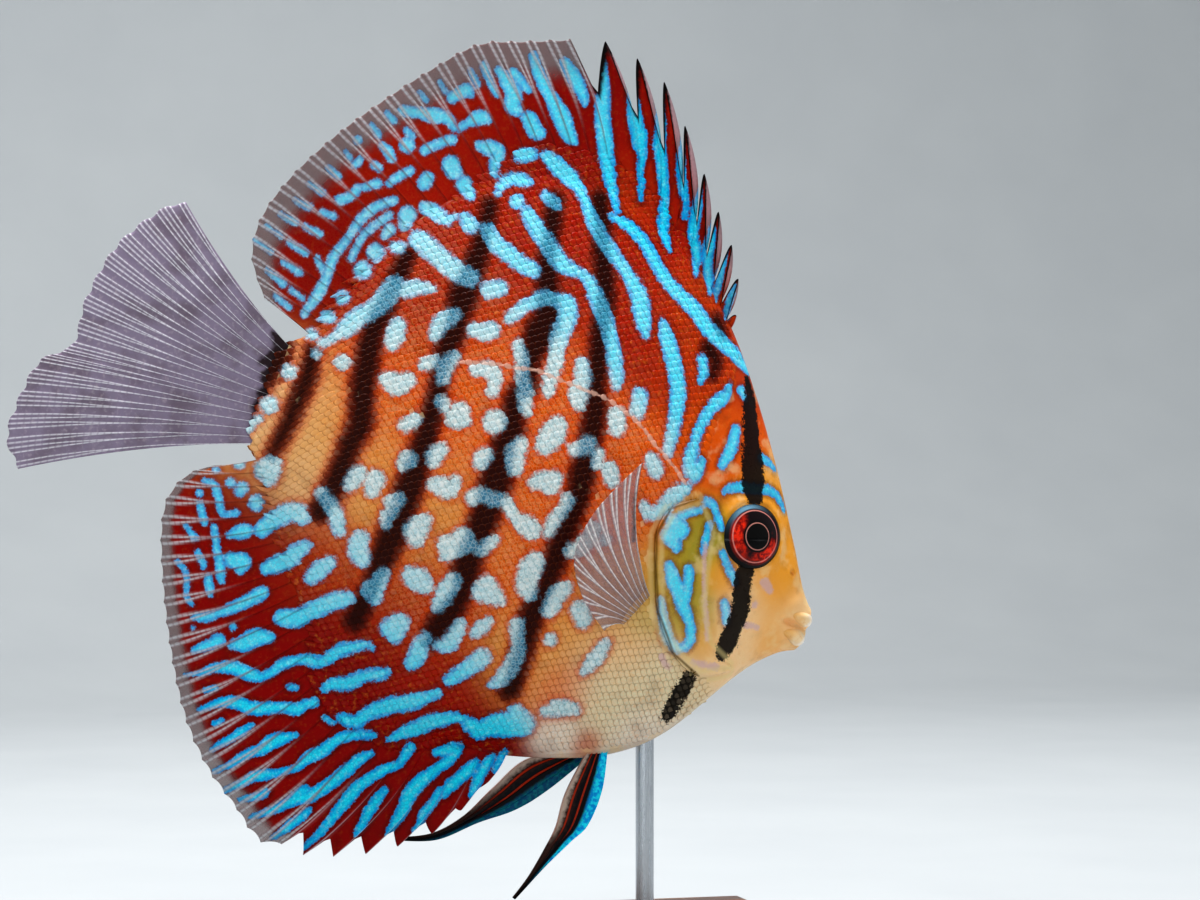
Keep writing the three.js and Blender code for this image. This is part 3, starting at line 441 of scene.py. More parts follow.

# %% [markdown]
# ## Making pieces
# Every piece is a mesh from arrays of corners and faces. The helper below fills the mesh in one go,
# adds the attributes that its finish reads, fixes it to the body it rides on and hides the CAD nodes
# it stands for.

# %% Mesh helpers
def make_piece(name, corners, faces, finish, replaces=(), values=None, places=None, uv=None):
    """corners are in the fish frame as s, y, z; faces is a list of arrays of corner numbers."""
    mesh = bpy.data.meshes.new(name)
    mesh.vertices.add(len(corners))
    mesh.vertices.foreach_set("co", world(*corners.T).ravel())
    loops = np.concatenate([part.ravel() for part in faces])
    widths = np.concatenate([np.full(len(part), part.shape[1]) for part in faces])
    mesh.loops.add(len(loops))
    mesh.loops.foreach_set("vertex_index", loops)
    mesh.polygons.add(len(widths))
    mesh.polygons.foreach_set("loop_start", np.concatenate([[0], np.cumsum(widths)[:-1]]))
    mesh.update(calc_edges=True)
    mesh.polygons.foreach_set("use_smooth", np.ones(len(widths), bool))
    s, z = (corners[:, 0], corners[:, 2]) if places is None else places
    values = dict(values or {})
    for field in FIELDS:
        values.setdefault(field, field_at(field, s, z))
    tint, pale = ground_at(s, z)
    values.setdefault("pale", pale)
    for key, numbers in values.items():
        mesh.attributes.new(key, "FLOAT", "POINT").data.foreach_set("value", np.ravel(numbers))
    layer = mesh.attributes.new("ground", "FLOAT_COLOR", "POINT")
    layer.data.foreach_set("color", np.column_stack([tint, np.ones(len(tint))]).ravel())
    if uv is not None:
        mesh.uv_layers.new(name="OFBake").data.foreach_set("uv", uv[loops].ravel())
    piece = bpy.data.objects.new(name, mesh)
    bpy.context.collection.objects.link(piece)
    mesh.materials.append(finish)
    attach(piece, "root")
    if replaces:
        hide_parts(*replaces)
    print(name, "corners", len(corners), "faces", len(widths))
    return piece


def grid_faces(rows, columns, closed=False):
    """Four-sided faces over a grid of corners numbered row by row."""
    i, k = np.meshgrid(np.arange(rows - 1), np.arange(columns if closed else columns - 1), indexing="ij")
    k2 = (k + 1) % columns
    corners = [i * columns + k, i * columns + k2, (i + 1) * columns + k2, (i + 1) * columns + k]
    return np.stack(corners, axis=-1).reshape(-1, 4)


def grid_rim(rows, columns):
    """The corners round the edge of such a grid, in order."""
    grid = np.arange(rows * columns).reshape(rows, columns)
    return np.concatenate([grid[0, :-1], grid[:-1, -1], grid[-1, :0:-1], grid[:0:-1, 0]])


def plate_faces(rows, columns):
    """Faces of a closed plate: its outer grid, then its inner one, then the wall round them."""
    faces, rim, count = grid_faces(rows, columns), grid_rim(rows, columns), rows * columns
    wall = np.stack([rim, np.roll(rim, -1), np.roll(rim, -1) + count, rim + count], axis=1)
    return [faces[:, ::-1], faces + count, wall]


def turned(parts, turn):
    """The same faces, facing the other way if turn is true."""
    return [part[:, ::-1] for part in parts] if turn else parts


SIDES = ((-1, "right"), (1, "left"))
print("mesh helpers ready")

# %% [markdown]
# ## Shader maths
# A finish is a small graph of nodes. Written as Python expressions it reads like maths: `Value`
# wraps one output of a node and turns `+ - *` into Math nodes. Any other node comes from
# `Finish.node`, which sets its settings first and then the values or links of its inputs. Colours
# are laid over each other like coats of paint, each with how much of it covers.

# %% Shader classes
class Value:
    """An output of a node."""

    def __init__(self, finish, socket):
        self.finish = finish
        self.socket = socket

    def maths(self, operation, *terms):
        return self.finish.node("Math", {"operation": operation}, dict(enumerate(terms)))

    def __add__(self, other):
        return self.maths("ADD", self, other)

    def __sub__(self, other):
        return self.maths("SUBTRACT", self, other)

    def __rsub__(self, other):
        return self.maths("SUBTRACT", other, self)

    def __mul__(self, other):
        return self.maths("MULTIPLY", self, other)

    __radd__ = __add__
    __rmul__ = __mul__

    def step(self, low, high, top=1.0):
        """0 below low, top above high and smooth between."""
        inputs = {"Value": self, "From Min": low, "From Max": high, "To Min": 0.0, "To Max": top}
        return self.finish.node("MapRange", {"interpolation_type": "SMOOTHSTEP"}, inputs)


class Finish:
    """A material that is built up node by node."""

    def __init__(self, name):
        self.material = bpy.data.materials.new(name)
        self.material.use_nodes = True
        self.tree = self.material.node_tree
        self.tree.nodes.clear()

    def node(self, kind, settings=None, inputs=None, output=0):
        made = self.tree.nodes.new("ShaderNode" + kind)
        for key, setting in (settings or {}).items():
            setattr(made, key, setting)
        for key, given in (inputs or {}).items():
            socket = made.inputs[key]
            if isinstance(given, Value):
                self.tree.links.new(given.socket, socket)
            elif socket.type == "RGBA":
                socket.default_value = (*(rgb(given) if isinstance(given, str) else given), 1)
            else:
                socket.default_value = given
        return Value(self, made.outputs[output]) if made.outputs else None

    def attribute(self, name, output="Fac"):
        return self.node("Attribute", {"attribute_type": "GEOMETRY", "attribute_name": name}, output=output)

    def place(self, stretch=(1, 1, 1)):
        spot = self.node("TexCoord", output="Object")
        return self.node("VectorMath", {"operation": "MULTIPLY"}, {0: spot, 1: stretch})

    def noise(self, size, detail=2.0, stretch=(1, 1, 1), roughness=0.5):
        """Noise from 0 to 1 with patches about size millimetres across."""
        inputs = {"Vector": self.place(stretch), "Scale": 1 / (size * MM), "Detail": detail,
                  "Roughness": roughness}
        return self.node("TexNoise", {"noise_dimensions": "3D"}, inputs, output="Fac")

    def cells(self, size):
        """Distance to the edge of cells about size millimetres across."""
        inputs = {"Vector": self.place(), "Scale": 1 / (size * MM)}
        return self.node("TexVoronoi", {"feature": "DISTANCE_TO_EDGE"}, inputs, output="Distance")

    def rings(self, times):
        """The tiny joints of a ray, as bands across it; times is how many radians pass in a millimetre."""
        return self.node("Math", {"operation": "SINE"}, {0: self.attribute("along") * times})

    def coats(self, colour, *coats):
        """Coats of (tint, cover) laid one after the other over a colour."""
        settings = {"data_type": "RGBA", "blend_type": "MIX"}
        for tint, cover in coats:
            colour = self.node("Mix", settings, {0: cover, 6: colour, 7: tint}, output=2)
        return colour

    def bump(self, height, depth, strength=1.0):
        """depth is the height, in millimetres, that a value of 1 stands for."""
        return self.node("Bump", {}, {"Height": height, "Distance": depth * MM, "Strength": strength})

    def surface(self, **inputs):
        named = {key.replace("_", " "): given for key, given in inputs.items()}
        shader = self.node("BsdfPrincipled", {}, named, output="BSDF")
        self.node("OutputMaterial", {}, {"Surface": shader})
        return self.material


print("shader classes ready")

# %% [markdown]
# ## The skin's colours
# One recipe of colour serves the bare skin of the head, the gill covers, the scales and the fins, so
# that a stripe runs on from one piece to the next. The ground is mottled, then the soft bars darken
# it, then the blue goes on top, and the sharp bars of the face go over everything. Where a soft bar
# crosses the blue, the blue turns to a dark teal, as it does on the living fish.

# %% Colour recipe
CYAN_DEEP, CYAN, CYAN_LIGHT = "009ce6", "1ee6ff", "b4ffff"
LACE_DEEP, LACE, LACE_LIGHT = "8cb0b8", "bcd8dc", "f6f8f4"
BAR_COLOUR, TEAL, INK, RUST_GLOW = "220501", "2b7c9c", "060303", "d03c00"


def fish_colour(finish, wobble=0.5, lace=1.0, freckle=1.0, cut=0.0):
    """The colour of the fish, the share of it that is blue, and its fine noise."""
    ground, pale = finish.attribute("ground", "Color"), finish.attribute("pale")
    mottle, fine, dust = finish.noise(5, 4), finish.noise(0.9, 3), finish.noise(0.4, 2)
    shake = (finish.noise(1.6, 3) - 0.5) * (2 * wobble) + (dust - 0.5) * 0.7
    curl = 1 - finish.cells(0.75).step(0.02, 0.2)
    bars, depth = finish.attribute("soft_bar") + shake * 1.4, finish.attribute("blue") + shake + pale * 0.3
    soft, inner = bars.step(-1.3, 1.1), depth.step(0.1, 1.2)
    ground = finish.coats(
        ground,
        ("5a0c02", mottle.step(0.5, 0.8, 0.35)),
        ("f4a038", fine.step(0.5, 0.8, 0.26 * freckle)),
        ("f0b878", curl * pale * pale * (0.3 * lace)),
        (RUST_GLOW, bars.step(-3.6, -0.4, 0.75) * pale),
        (RUST_GLOW, depth.step(-1.6, -0.1, 0.6) * pale),
        ("4c0200", depth.step(-1.3, 0.0, 0.6) * (1 - pale)),
        ("6c1402", bars.step(-2.2, -0.3, 0.85)),
        (BAR_COLOUR, soft * 0.92))
    feathered = (depth + (fine - 0.5) * 0.8).step(-0.55, 0.6)
    blue = (depth.step(-0.16, 0.2) * (1 - pale) + feathered * pale) * (1 - cut)
    bright = finish.coats(CYAN_DEEP, (CYAN, inner), (CYAN_LIGHT, fine.step(0.48, 0.75, 0.4)),
                          ("0a88c8", curl * 0.3))
    light = finish.coats(LACE_DEEP, (LACE, inner), (LACE_LIGHT, fine.step(0.42, 0.68, 0.7)),
                         ("f4f8f4", curl * (0.45 * lace)))
    tone = finish.coats(bright, (light, pale), (TEAL, soft * (0.9 - curl * 0.3)))
    lilac = (finish.attribute("lilac") + shake).step(-0.3, 0.5)
    bar = (finish.attribute("bar") + shake * 2.2 + 0.25).step(-0.2, 0.25)
    return finish.coats(ground, (tone, blue), ("d9b4b4", lilac * 0.75), (INK, bar * 0.98)), blue, fine


def skin_finish():
    finish = Finish("wet_skin")
    colour, blue, fine = fish_colour(finish, freckle=0.6)
    patch = finish.noise(4.5, 3).step(0.48, 0.66) * (1 - blue) * (1 - finish.attribute("bar").step(-0.8, 0))
    colour = finish.coats(colour, ("fbdca4", patch * 0.42),
                          # painted shade: a dark olive line along the free rear edge of the gill cover, where
                          # it overhangs the flank
                          ("5a4408", finish.attribute("painted_crease_shade").step(-0.2, 0.3, 0.85)),
                          ("e8d494", finish.attribute("brow").step(-0.5, 0.4, 0.4)))
    grain = finish.cells(0.8) * 0.6 + finish.noise(2.2, 3) * 0.8 + fine * 0.3
    return finish.surface(Base_Color=colour, Roughness=fine.step(0.2, 0.9, 0.25) + 0.24, Coat_Weight=0.12,
                          Coat_Roughness=0.14, IOR=1.4, Specular_IOR_Level=0.12,
                          Normal=finish.bump(grain, 0.1, 0.6))


SKIN = skin_finish()
print("skin nodes:", len(SKIN.node_tree.nodes))

# %% [markdown]
# ## The skin
# The body is a flat disc of a fish, so its skin is a grid: sections across the body from snout to
# tail, each with corners up one side, over the back and down the other. Relief is added to the half
# thickness: the rim of the eye socket, the ridge in front of the gill cover, the fold of the mouth
# and the nostril. One grid has no seam, and it takes the place of the three solids of flesh.

# %% Relief
EYE_AT = (21.8, 10.0)
NOSTRIL_AT = (9.2, 6.0)
MOUTH_Z, MOUTH_CORNER = -4.3, 6.2
COVER_FRONT = [(36, 12.6), (31.2, 8), (29.2, -1), (27, -9), (22.5, -15), (15.6, -17.4)]
COVER_REAR = [(37.4, 13), (42.4, 8.8), (43.4, 2.5), (40.6, -5), (36.8, -13), (30, -20.2), (22.4, -22.8),
              (15.6, -19.4)]


def smooth(x, low, high):
    x = np.clip((x - low) / (high - low), 0, 1)
    return x * x * (3 - 2 * x)


def bell(distance, width):
    return np.exp(-(distance / width) ** 2)


def from_line(line, s, z):
    """Distance in millimetres to a line of (s, z) places."""
    best = np.full(s.shape, 1e9)
    for (s0, z0), (s1, z1) in zip(line, line[1:]):
        ds, dz = s1 - s0, z1 - z0
        along = np.clip(((s - s0) * ds + (z - z0) * dz) / (ds * ds + dz * dz), 0, 1)
        best = np.minimum(best, np.hypot(s - s0 - along * ds, z - z0 - along * dz))
    return best


GRID = np.meshgrid(GRID_S, GRID_Z, indexing="ij")
# painted shade along the free rear edge of the gill cover, kept as a field for the skin's colour
FIELDS["painted_crease_shade"] = 0.3 - from_line(COVER_REAR[:-1], *GRID)
FIELDS["brow"] = 0.5 - np.minimum(np.abs(from_line(COVER_REAR, *GRID) - 1.1), from_line(COVER_FRONT, *GRID))

CHEEK_FOLDS = [
    [(14.5, -3.5), (16.5, -9), (15, -14)],
    [(7.5, -6.5), (10.5, -10), (11.2, -14)],
    [(9, -1), (13, 1.5), (15, 5)],
]
# lumps round the mouth as s, z, height and width
MOUTH_LUMPS = [(5.5, -0.6, 0.5, 2.4), (6.5, -9, 0.35, 2.2)]


def relief(s, z):
    """How far the skin stands out, in millimetres, from the plain flank."""
    eye = np.hypot(s - EYE_AT[0], z - EYE_AT[1])
    nostril = np.hypot(s - NOSTRIL_AT[0], z - NOSTRIL_AT[1])
    out = 0.5 * bell(eye - 7.9, 0.8) - 2.2 * (1 - smooth(eye, 5.4, 6.9)) - 0.2 * bell(eye - 9.8, 1.0)
    out += 0.22 * bell(nostril - 1.0, 0.35) - 0.9 * bell(nostril, 0.55)
    out += 0.34 * bell(from_line(COVER_FRONT, s, z) - 1.5, 0.8)
    for fold in CHEEK_FOLDS:
        out -= 0.28 * bell(from_line(fold, s, z), 0.6)
    for lump_s, lump_z, height, width in MOUTH_LUMPS:
        out += height * bell(np.hypot(s - lump_s, z - lump_z), width)
    out += 0.12 * np.sin(s * 1.3 + 2 * np.sin(z * 0.5)) * bell(np.hypot(s - 12, z + 3), 9)
    near_mouth = 1 - smooth(s, MOUTH_CORNER, MOUTH_CORNER + 2.5)
    out -= 1.6 * bell(z - MOUTH_Z, 0.7) * near_mouth
    return out


print("lines of relief:", len(CHEEK_FOLDS) + 1)

# %% Skin
SECTIONS, SIDE_CORNERS, NOSE_RINGS, CAP = 296, 148, 8, 4
NOSE_LENGTH = 1.1
CAP_HEIGHT = 0.45


def skin_rings():
    nose = np.linspace(math.pi / 2, 0, NOSE_RINGS, endpoint=False)
    u = np.linspace(0, 1, SECTIONS)
    packed = (1 - np.cos(math.pi * u)) / 2
    s_body = BODY_START + (BODY_END - BODY_START) * (0.6 * u + 0.4 * packed)
    s_all = np.concatenate([BODY_START - NOSE_LENGTH * np.sin(nose), s_body])
    shrink = np.concatenate([np.maximum(np.cos(nose), 0.02), np.ones(SECTIONS)])
    t = np.sin(math.pi * (np.linspace(0, 1, SIDE_CORNERS) - 0.5))
    s, t = np.meshgrid(s_all, t, indexing="ij")
    body_s = np.maximum(s, BODY_START)
    top, low = back(body_s), belly(body_s)
    z = (top + low) / 2 + (top - low) / 2 * shrink[:, None] * t
    y = (flank_at(body_s, t) + relief(s, z)) * shrink[:, None]
    turn = np.linspace(0, math.pi, CAP + 2)[1:-1]
    caps = [(way * y[:, edge] * np.cos(turn), z[:, edge] + way * CAP_HEIGHT * y[:, edge] * np.sin(turn))
            for way, edge in ((1, slice(-1, None)), (-1, slice(0, 1)))]
    y_ring = np.concatenate([y, caps[0][0], -y[:, ::-1], caps[1][0]], axis=1)
    z_ring = np.concatenate([z, caps[0][1], z[:, ::-1], caps[1][1]], axis=1)
    return np.stack([np.broadcast_to(s_all[:, None], y_ring.shape), y_ring, z_ring], axis=-1)


def fish_skin():
    rings = skin_rings()
    count, size = rings.shape[:2]
    corners = rings.reshape(-1, 3)
    ends = np.array([corners[:size].mean(axis=0), corners[-size:].mean(axis=0)])
    last, around = (count - 1) * size, np.arange(size)
    nose_cap = np.stack([around, (around + 1) % size, np.full(size, len(corners))], axis=1)
    tail_cap = np.stack([last + (around + 1) % size, last + around, np.full(size, len(corners) + 1)], axis=1)
    faces = [grid_faces(count, size, closed=True)[:, ::-1], nose_cap, tail_cap]
    make_piece("fish_skin", np.concatenate([corners, ends]), faces, SKIN,
               replaces=("head", "torso", "tail_base"))


fish_skin()

# %% [markdown]
# ## Gill covers
# The gill cover is a thin plate of bone under skin, hinged at its front edge. Its rear edge is free
# and casts a shadow, so it is a separate plate that starts flush with the cheek and rises off it. It
# reads the same colour fields as the skin below.

# %% Splines as in the solids
def spline(points, t):
    """A curve through the points, even in its own parameter."""
    points = np.array(points, float)
    count = len(points)
    at = np.clip(np.asarray(t, float), 0, 1) * (count - 1)
    i = np.minimum(at.astype(int), count - 2)
    w = (at - i)[..., None]
    p0, p1 = points[np.maximum(i - 1, 0)], points[i]
    p2, p3 = points[i + 1], points[np.minimum(i + 2, count - 1)]
    v0, v1 = (p2 - p0) / 2, (p3 - p1) / 2
    return ((2 * p1 - 2 * p2 + v0 + v1) * w + (-3 * p1 + 3 * p2 - 2 * v0 - v1)) * w * w + v0 * w + p1


def length_along(line):
    return np.concatenate([[0], np.cumsum(np.hypot(*np.diff(line, axis=0).T))])


def even_spline(points, t):
    """The same curve, even in length."""
    fine = np.linspace(0, 1, 401)
    length = length_along(spline(points, fine))
    return spline(points, np.interp(np.asarray(t, float) * length[-1], length, fine))


print("rear edge of the gill cover, mm:", round(float(length_along(np.array(COVER_REAR))[-1]), 1))

# %% Gill covers
COVER_ROWS, COVER_COLUMNS = 110, 60
COVER_THICK = 0.45


def gill_cover(name, side):
    v, u = np.meshgrid(np.linspace(0, 1, COVER_ROWS), np.linspace(0, 1, COVER_COLUMNS), indexing="ij")
    front, rear = even_spline(COVER_FRONT, v), even_spline(COVER_REAR, v)
    s, z = np.moveaxis(front + (rear - front) * u[..., None], -1, 0)
    rise = -0.3 + 1.15 * smooth(u, 0, 0.5) + 0.15 * u - 0.12 * bell(u - 0.62, 0.1)
    rise -= 0.25 * smooth(u, 0.9, 1.0)
    outer = np.stack([s, side * (flank(s, z) + relief(s, z) + rise), z], axis=-1).reshape(-1, 3)
    inner = outer - np.array([0, side * COVER_THICK, 0])
    make_piece(name, np.concatenate([outer, inner]), turned(plate_faces(COVER_ROWS, COVER_COLUMNS), side > 0),
               SKIN, replaces=(name.replace("operculum", "gill_cover"),))


for side, word in SIDES:
    gill_cover("operculum_" + word, side)

# %% [markdown]
# ## Lips
# The mouth is small, with two full lips that are paler than the face. Each lip is a bar bent round
# the front of the jaw and thinner at its corners, sunk a little into the skin.

# %% Lips
LIP_STEPS, LIP_SIDES = 48, 24
MOUTH_HALF_WIDTH, MOUTH_GAP, LIP_CORNER = 5.9, 0.5, 6.6


def lip_finish():
    finish = Finish("wet_lip")
    fine, patch, front = finish.noise(0.8, 3), finish.noise(2.4, 3), finish.attribute("front")
    colour = finish.coats("f4bc70", ("f8d8a8", (front + (patch - 0.5) * 0.8).step(0.2, 0.75)),
                          # the near-white at the front of each lip is partly the lip's own pale colour and
                          # partly a painted wet highlight
                          ("fdf2e4", (front + (patch - 0.5) * 1.2).step(0.7, 1.0, 0.7)),
                          ("dc9a58", fine.step(0.55, 0.75, 0.4)))
    return finish.surface(Base_Color=colour, Roughness=0.3, Coat_Weight=0.4, Coat_Roughness=0.08, IOR=1.4,
                          Specular_IOR_Level=0.2, Normal=finish.bump(patch + fine * 0.4, 0.3, 0.7))


def lip(name, z, radius, reach, finish):
    angle = np.linspace(-math.pi / 2, math.pi / 2, LIP_STEPS)[:, None]
    around = 2 * math.pi * np.arange(LIP_SIDES)[None, :] / LIP_SIDES
    thick = radius * (0.12 + 0.88 * np.maximum(np.cos(angle), 0) ** 0.8)
    middle_s = LIP_CORNER - (LIP_CORNER - reach - radius) * np.cos(angle)
    middle_y = MOUTH_HALF_WIDTH * 0.8 * np.sin(angle)
    outward = thick * np.cos(around)
    corners = np.stack(np.broadcast_arrays(middle_s - outward * np.cos(angle),
                                           middle_y + outward * np.sin(angle),
                                           z + thick * np.sin(around)), axis=-1).reshape(-1, 3)
    faces = [grid_faces(LIP_STEPS, LIP_SIDES, closed=True), np.arange(LIP_SIDES)[None, ::-1],
             (len(corners) - LIP_SIDES + np.arange(LIP_SIDES))[None, :]]
    front = np.broadcast_to(np.maximum(np.cos(angle), 0), (LIP_STEPS, LIP_SIDES))
    make_piece(name, corners, faces, finish, values={"front": front})


LIP = lip_finish()
lip("upper_lip", MOUTH_Z + 1.7 + MOUTH_GAP / 2, 1.85, -0.5, LIP)
lip("lower_lip", MOUTH_Z - 2.1 - MOUTH_GAP / 2, 2.1, -0.3, LIP)

# %% [markdown]
# ## Scales
# Behind the head the skin is roofed with small overlapping scales. Each one here is a thin domed
# plate whose front is sunk in the skin and whose rounded rear edge stands free, and each is laid on
# the next one behind it. They follow the lie of the body: columns step back along the fish, and rows
# keep an even distance over the curve of the flank. The coat climbs a little on to the base of the
# dorsal, anal and tail fins, as it does on the real fish, and that hides where a fin starts. A flat
# net of that distance and of `s` is also the unwrap that gives each scale its own small patch for
# baking.

# %% Net over the flank
NET_STEP = 0.5
NET_S = np.arange(6, 131.01, NET_STEP)
NET_W = np.arange(-82, 82.01, NET_STEP)
NET_FINE = np.sin(math.pi * (np.linspace(0, 1, 801) - 0.5))


def flank_net():
    """The height t for each s and each distance w over the flank from its middle."""
    net, reach = np.zeros((len(NET_S), len(NET_W))), []
    for i, s in enumerate(NET_S):
        w = length_along(np.stack([flank_at(s, NET_FINE), height_at(s, NET_FINE)], axis=1))
        w -= np.interp(0, NET_FINE, w)
        net[i] = np.interp(NET_W, w, NET_FINE)
        reach.append((w[0], w[-1]))
    return net, np.array(reach)


net, net_reach = flank_net()
print("widest half of the net, mm:", round(float(net_reach[:, 1].max()), 1))

# %% Places on the net
COAT_REACH, COAT_START, COAT_END = 7.5, 8, 133.4
TAIL_TAPER, TAPER_LEAD = 0.24, 0.6
FIN_TAPER, FIN_TAPER_MOST = 0.09, 0.5
# where the coat starts to climb on to a fin, is full, starts to fall and has gone
FIN_COAT = {1: (44, 80, 90, 110), -1: (60, 84, 92, 108)}
SLOPE_STEP = 0.4


def coat_reach(s, up):
    """How far, in millimetres, the scales climb from the body's edge on to a fin."""
    start, full, fall, end = FIN_COAT[up]
    return COAT_REACH * smooth(s, start, full) * (1 - smooth(s, fall, end))


def slope_of(edge, s):
    return (edge(s + SLOPE_STEP) - edge(s - SLOPE_STEP)) / (2 * SLOPE_STEP)


def net_height(s, w):
    return read_grid(net, (NET_S[0], NET_W[0]), NET_STEP, s, w)


def on_net(s, w):
    """A place on the flank, or past its edge on the base of a fin."""
    t = net_height(s, w)
    z = height_at(s, t)
    y = (flank_at(s, t) + relief(s, z)) * (1 - TAIL_TAPER * np.maximum(s - BODY_END + TAPER_LEAD, 0))
    for up, edge, reach in ((1, back, net_reach[:, 1]), (-1, belly, net_reach[:, 0])):
        beyond = np.maximum(up * (w - np.interp(s, NET_S, reach)), 0)
        slope = slope_of(edge, s)
        out = up / np.hypot(1, slope)
        y = y - np.minimum(FIN_TAPER * beyond, FIN_TAPER_MOST)
        s, z = s - slope * out * beyond, z + out * beyond
    return np.stack([s, y, z], axis=-1)


def net_point(s, w, lift, side):
    """A place on the flank by s and w, lifted square to the skin."""
    s = np.clip(s, COAT_START, COAT_END)
    along = on_net(s + SLOPE_STEP, w) - on_net(s - SLOPE_STEP, w)
    across = on_net(s, w + SLOPE_STEP) - on_net(s, w - SLOPE_STEP)
    square = np.cross(across, along)
    square = square * np.where(square[..., 1:2] < 0, -1, 1) + np.array([0, 1e-6, 0])
    square /= np.linalg.norm(square, axis=-1, keepdims=True)
    return (on_net(s, w) + lift[..., None] * square) * np.array([1, side, 1])


print("coat on the dorsal fin at s = 85, mm:", round(float(coat_reach(85, 1)), 1))

# %% Lay the scales
SCALE_STEP, SCALE_ROW = 1.15, 1.72
FIRST_COLUMN, LAST_COLUMN = 12, 132
SCALE_LENGTH, SCALE_WIDTH, SCALE_THICK = 2.35, 2.0, 0.2
EDGE_GAP, HEAD_GAP = 0.9, 0.2
HEAD_LINE = [(-25, 9), (-22.8, 23), (-20.2, 31.6), (-13, 38.4), (-5, 42.2), (2.5, 45), (8.8, 43.8), (13, 39),
             (34, 37.6), (60, 33.6)]
head_line = through(HEAD_LINE)
random = np.random.default_rng(4)
V_ROWS = np.array([0.0, 0.42, 0.78, 1.0])
ACROSS = np.linspace(-1, 1, 5)
WIDTH_AT = np.array([0.7, 1.0, 0.86, 0.42])
SCALE_GRID = (len(V_ROWS), len(ACROSS))
TOP_CORNERS = len(V_ROWS) * len(ACROSS)
UNWRAP_S, UNWRAP_W, UNWRAP_EDGE, PATCH = 135, 164, 0.03, 0.003


def scale_roots():
    roots = []
    for column, s in enumerate(np.arange(FIRST_COLUMN, LAST_COLUMN, SCALE_STEP)):
        low, high = [np.interp(s, NET_S, net_reach[:, k]) for k in (0, 1)]
        w = np.arange(-50, 50) * SCALE_ROW + (SCALE_ROW / 2 if column % 2 else 0)
        w = w[(w > low + EDGE_GAP - coat_reach(s, -1)) & (w < high - EDGE_GAP + coat_reach(s, 1))]
        keep = s > head_line(height_at(s, net_height(np.full(len(w), s), w))) + HEAD_GAP
        roots += [(s, one) for one in w[keep]]
    return np.array(roots)


def scale_finish():
    finish = Finish("scaled_skin")
    colour, blue, fine = fish_colour(finish, wobble=0.6)
    rim, shade, pale = [finish.attribute(name) for name in ("rim", "shade", "pale")]
    plain = 1 - finish.attribute("bar").step(-0.6, 0.1)
    warm = rim.step(0.35, 0.95, 0.22) * (1 - blue * 0.6) * plain
    heart = (1 - rim.step(0.0, 0.4)) * pale * (1 - finish.attribute("soft_bar").step(-0.8, 0.4))
    colour = finish.coats(colour, ("8a3c10", warm * pale), ("1a0804", rim.step(0.6, 1.0, 0.08)),
                          ("f6d8b4", heart * shade.step(0.1, 1.0, 0.12)),
                          ("e8b8a4", finish.attribute("line").step(-0.1, 0.2, 0.7)))
    ridges = finish.noise(0.35, 2) * 0.5 + fine * 0.5
    return finish.surface(Base_Color=colour, Roughness=shade.step(0, 1, 0.12) + 0.26, Coat_Weight=0.05,
                          Coat_Roughness=0.12, IOR=1.4, Specular_IOR_Level=0.1,
                          Normal=finish.bump(ridges, 0.05, 0.5))


def lay_scales(name, side, half, finish):
    roots = scale_roots()
    roots = roots[roots[:, 1] * half > 0]
    root_s, root_w = roots.T
    count = len(roots)
    size = random.uniform(0.94, 1.06, (count, 1, 1))
    v, c = np.meshgrid(V_ROWS, ACROSS, indexing="ij")
    tilt = random.normal(0, 0.015, (count, 1, 1))
    lift = -0.1 + 0.26 * v + 0.07 * (1 - c ** 2) + tilt * c
    s = root_s[:, None, None] + ((v - 0.32) * SCALE_LENGTH - 0.25 * c ** 2 * v) * size
    w = root_w[:, None, None] + c * WIDTH_AT[:, None] * SCALE_WIDTH / 2 * size
    s, w, lift = [values.reshape(count, TOP_CORNERS) for values in (s, w, lift)]
    rim = grid_rim(*SCALE_GRID)
    corners = np.concatenate([net_point(s, w, lift, side),
                              net_point(s[:, rim], w[:, rim], lift[:, rim] - SCALE_THICK, side)], axis=1)
    per = TOP_CORNERS + len(rim)
    under = TOP_CORNERS + np.arange(len(rim))
    wall = np.stack([under, np.roll(under, -1), np.roll(rim, -1), rim], axis=1)
    base = (np.arange(count) * per)[:, None, None]
    faces = [(base + part).reshape(-1, part.shape[1])
             for part in turned([grid_faces(*SCALE_GRID), wall, under[None, :]], side > 0)]
    corners = corners.reshape(-1, 3)
    # each scale takes part of its colour from its own root, so that it differs a little from the next
    root_z = net_point(root_s, root_w, np.zeros(count), 1)[:, 2]
    colour_s = 0.7 * corners[:, 0] + 0.3 * (np.repeat(root_s, per) + 0.6)
    colour_z = 0.7 * corners[:, 2] + 0.3 * np.repeat(root_z, per)

    def each(top_values):
        """A value of one scale's top corners, for its underside too."""
        return np.concatenate([top_values.ravel(), top_values.ravel()[rim]])

    rim_value = np.maximum(np.abs(c) ** 3 * 0.9, smooth(v, 0.72, 1.0))
    room = 1 - 2 * UNWRAP_EDGE
    patch_u = UNWRAP_EDGE + room * root_s / UNWRAP_S
    patch_v = UNWRAP_EDGE + room * (root_w + UNWRAP_W / 2) / UNWRAP_W
    uv = np.stack([(patch_u[:, None] + PATCH / 2 * each(c)).ravel(),
                   (patch_v[:, None] + PATCH * (each(v) - 0.5)).ravel()], axis=1)
    values = {"rim": np.tile(each(rim_value), count), "shade": np.repeat(random.uniform(0, 1, count), per)}
    make_piece(name, corners, faces, finish, values=values, places=(colour_s, colour_z), uv=uv)
    print("scales:", count)


SCALES = scale_finish()
for side, word in SIDES:
    for half, part in ((1, "upper"), (-1, "lower")):
        lay_scales(f"scales_{word}_{part}", side, half, SCALES)

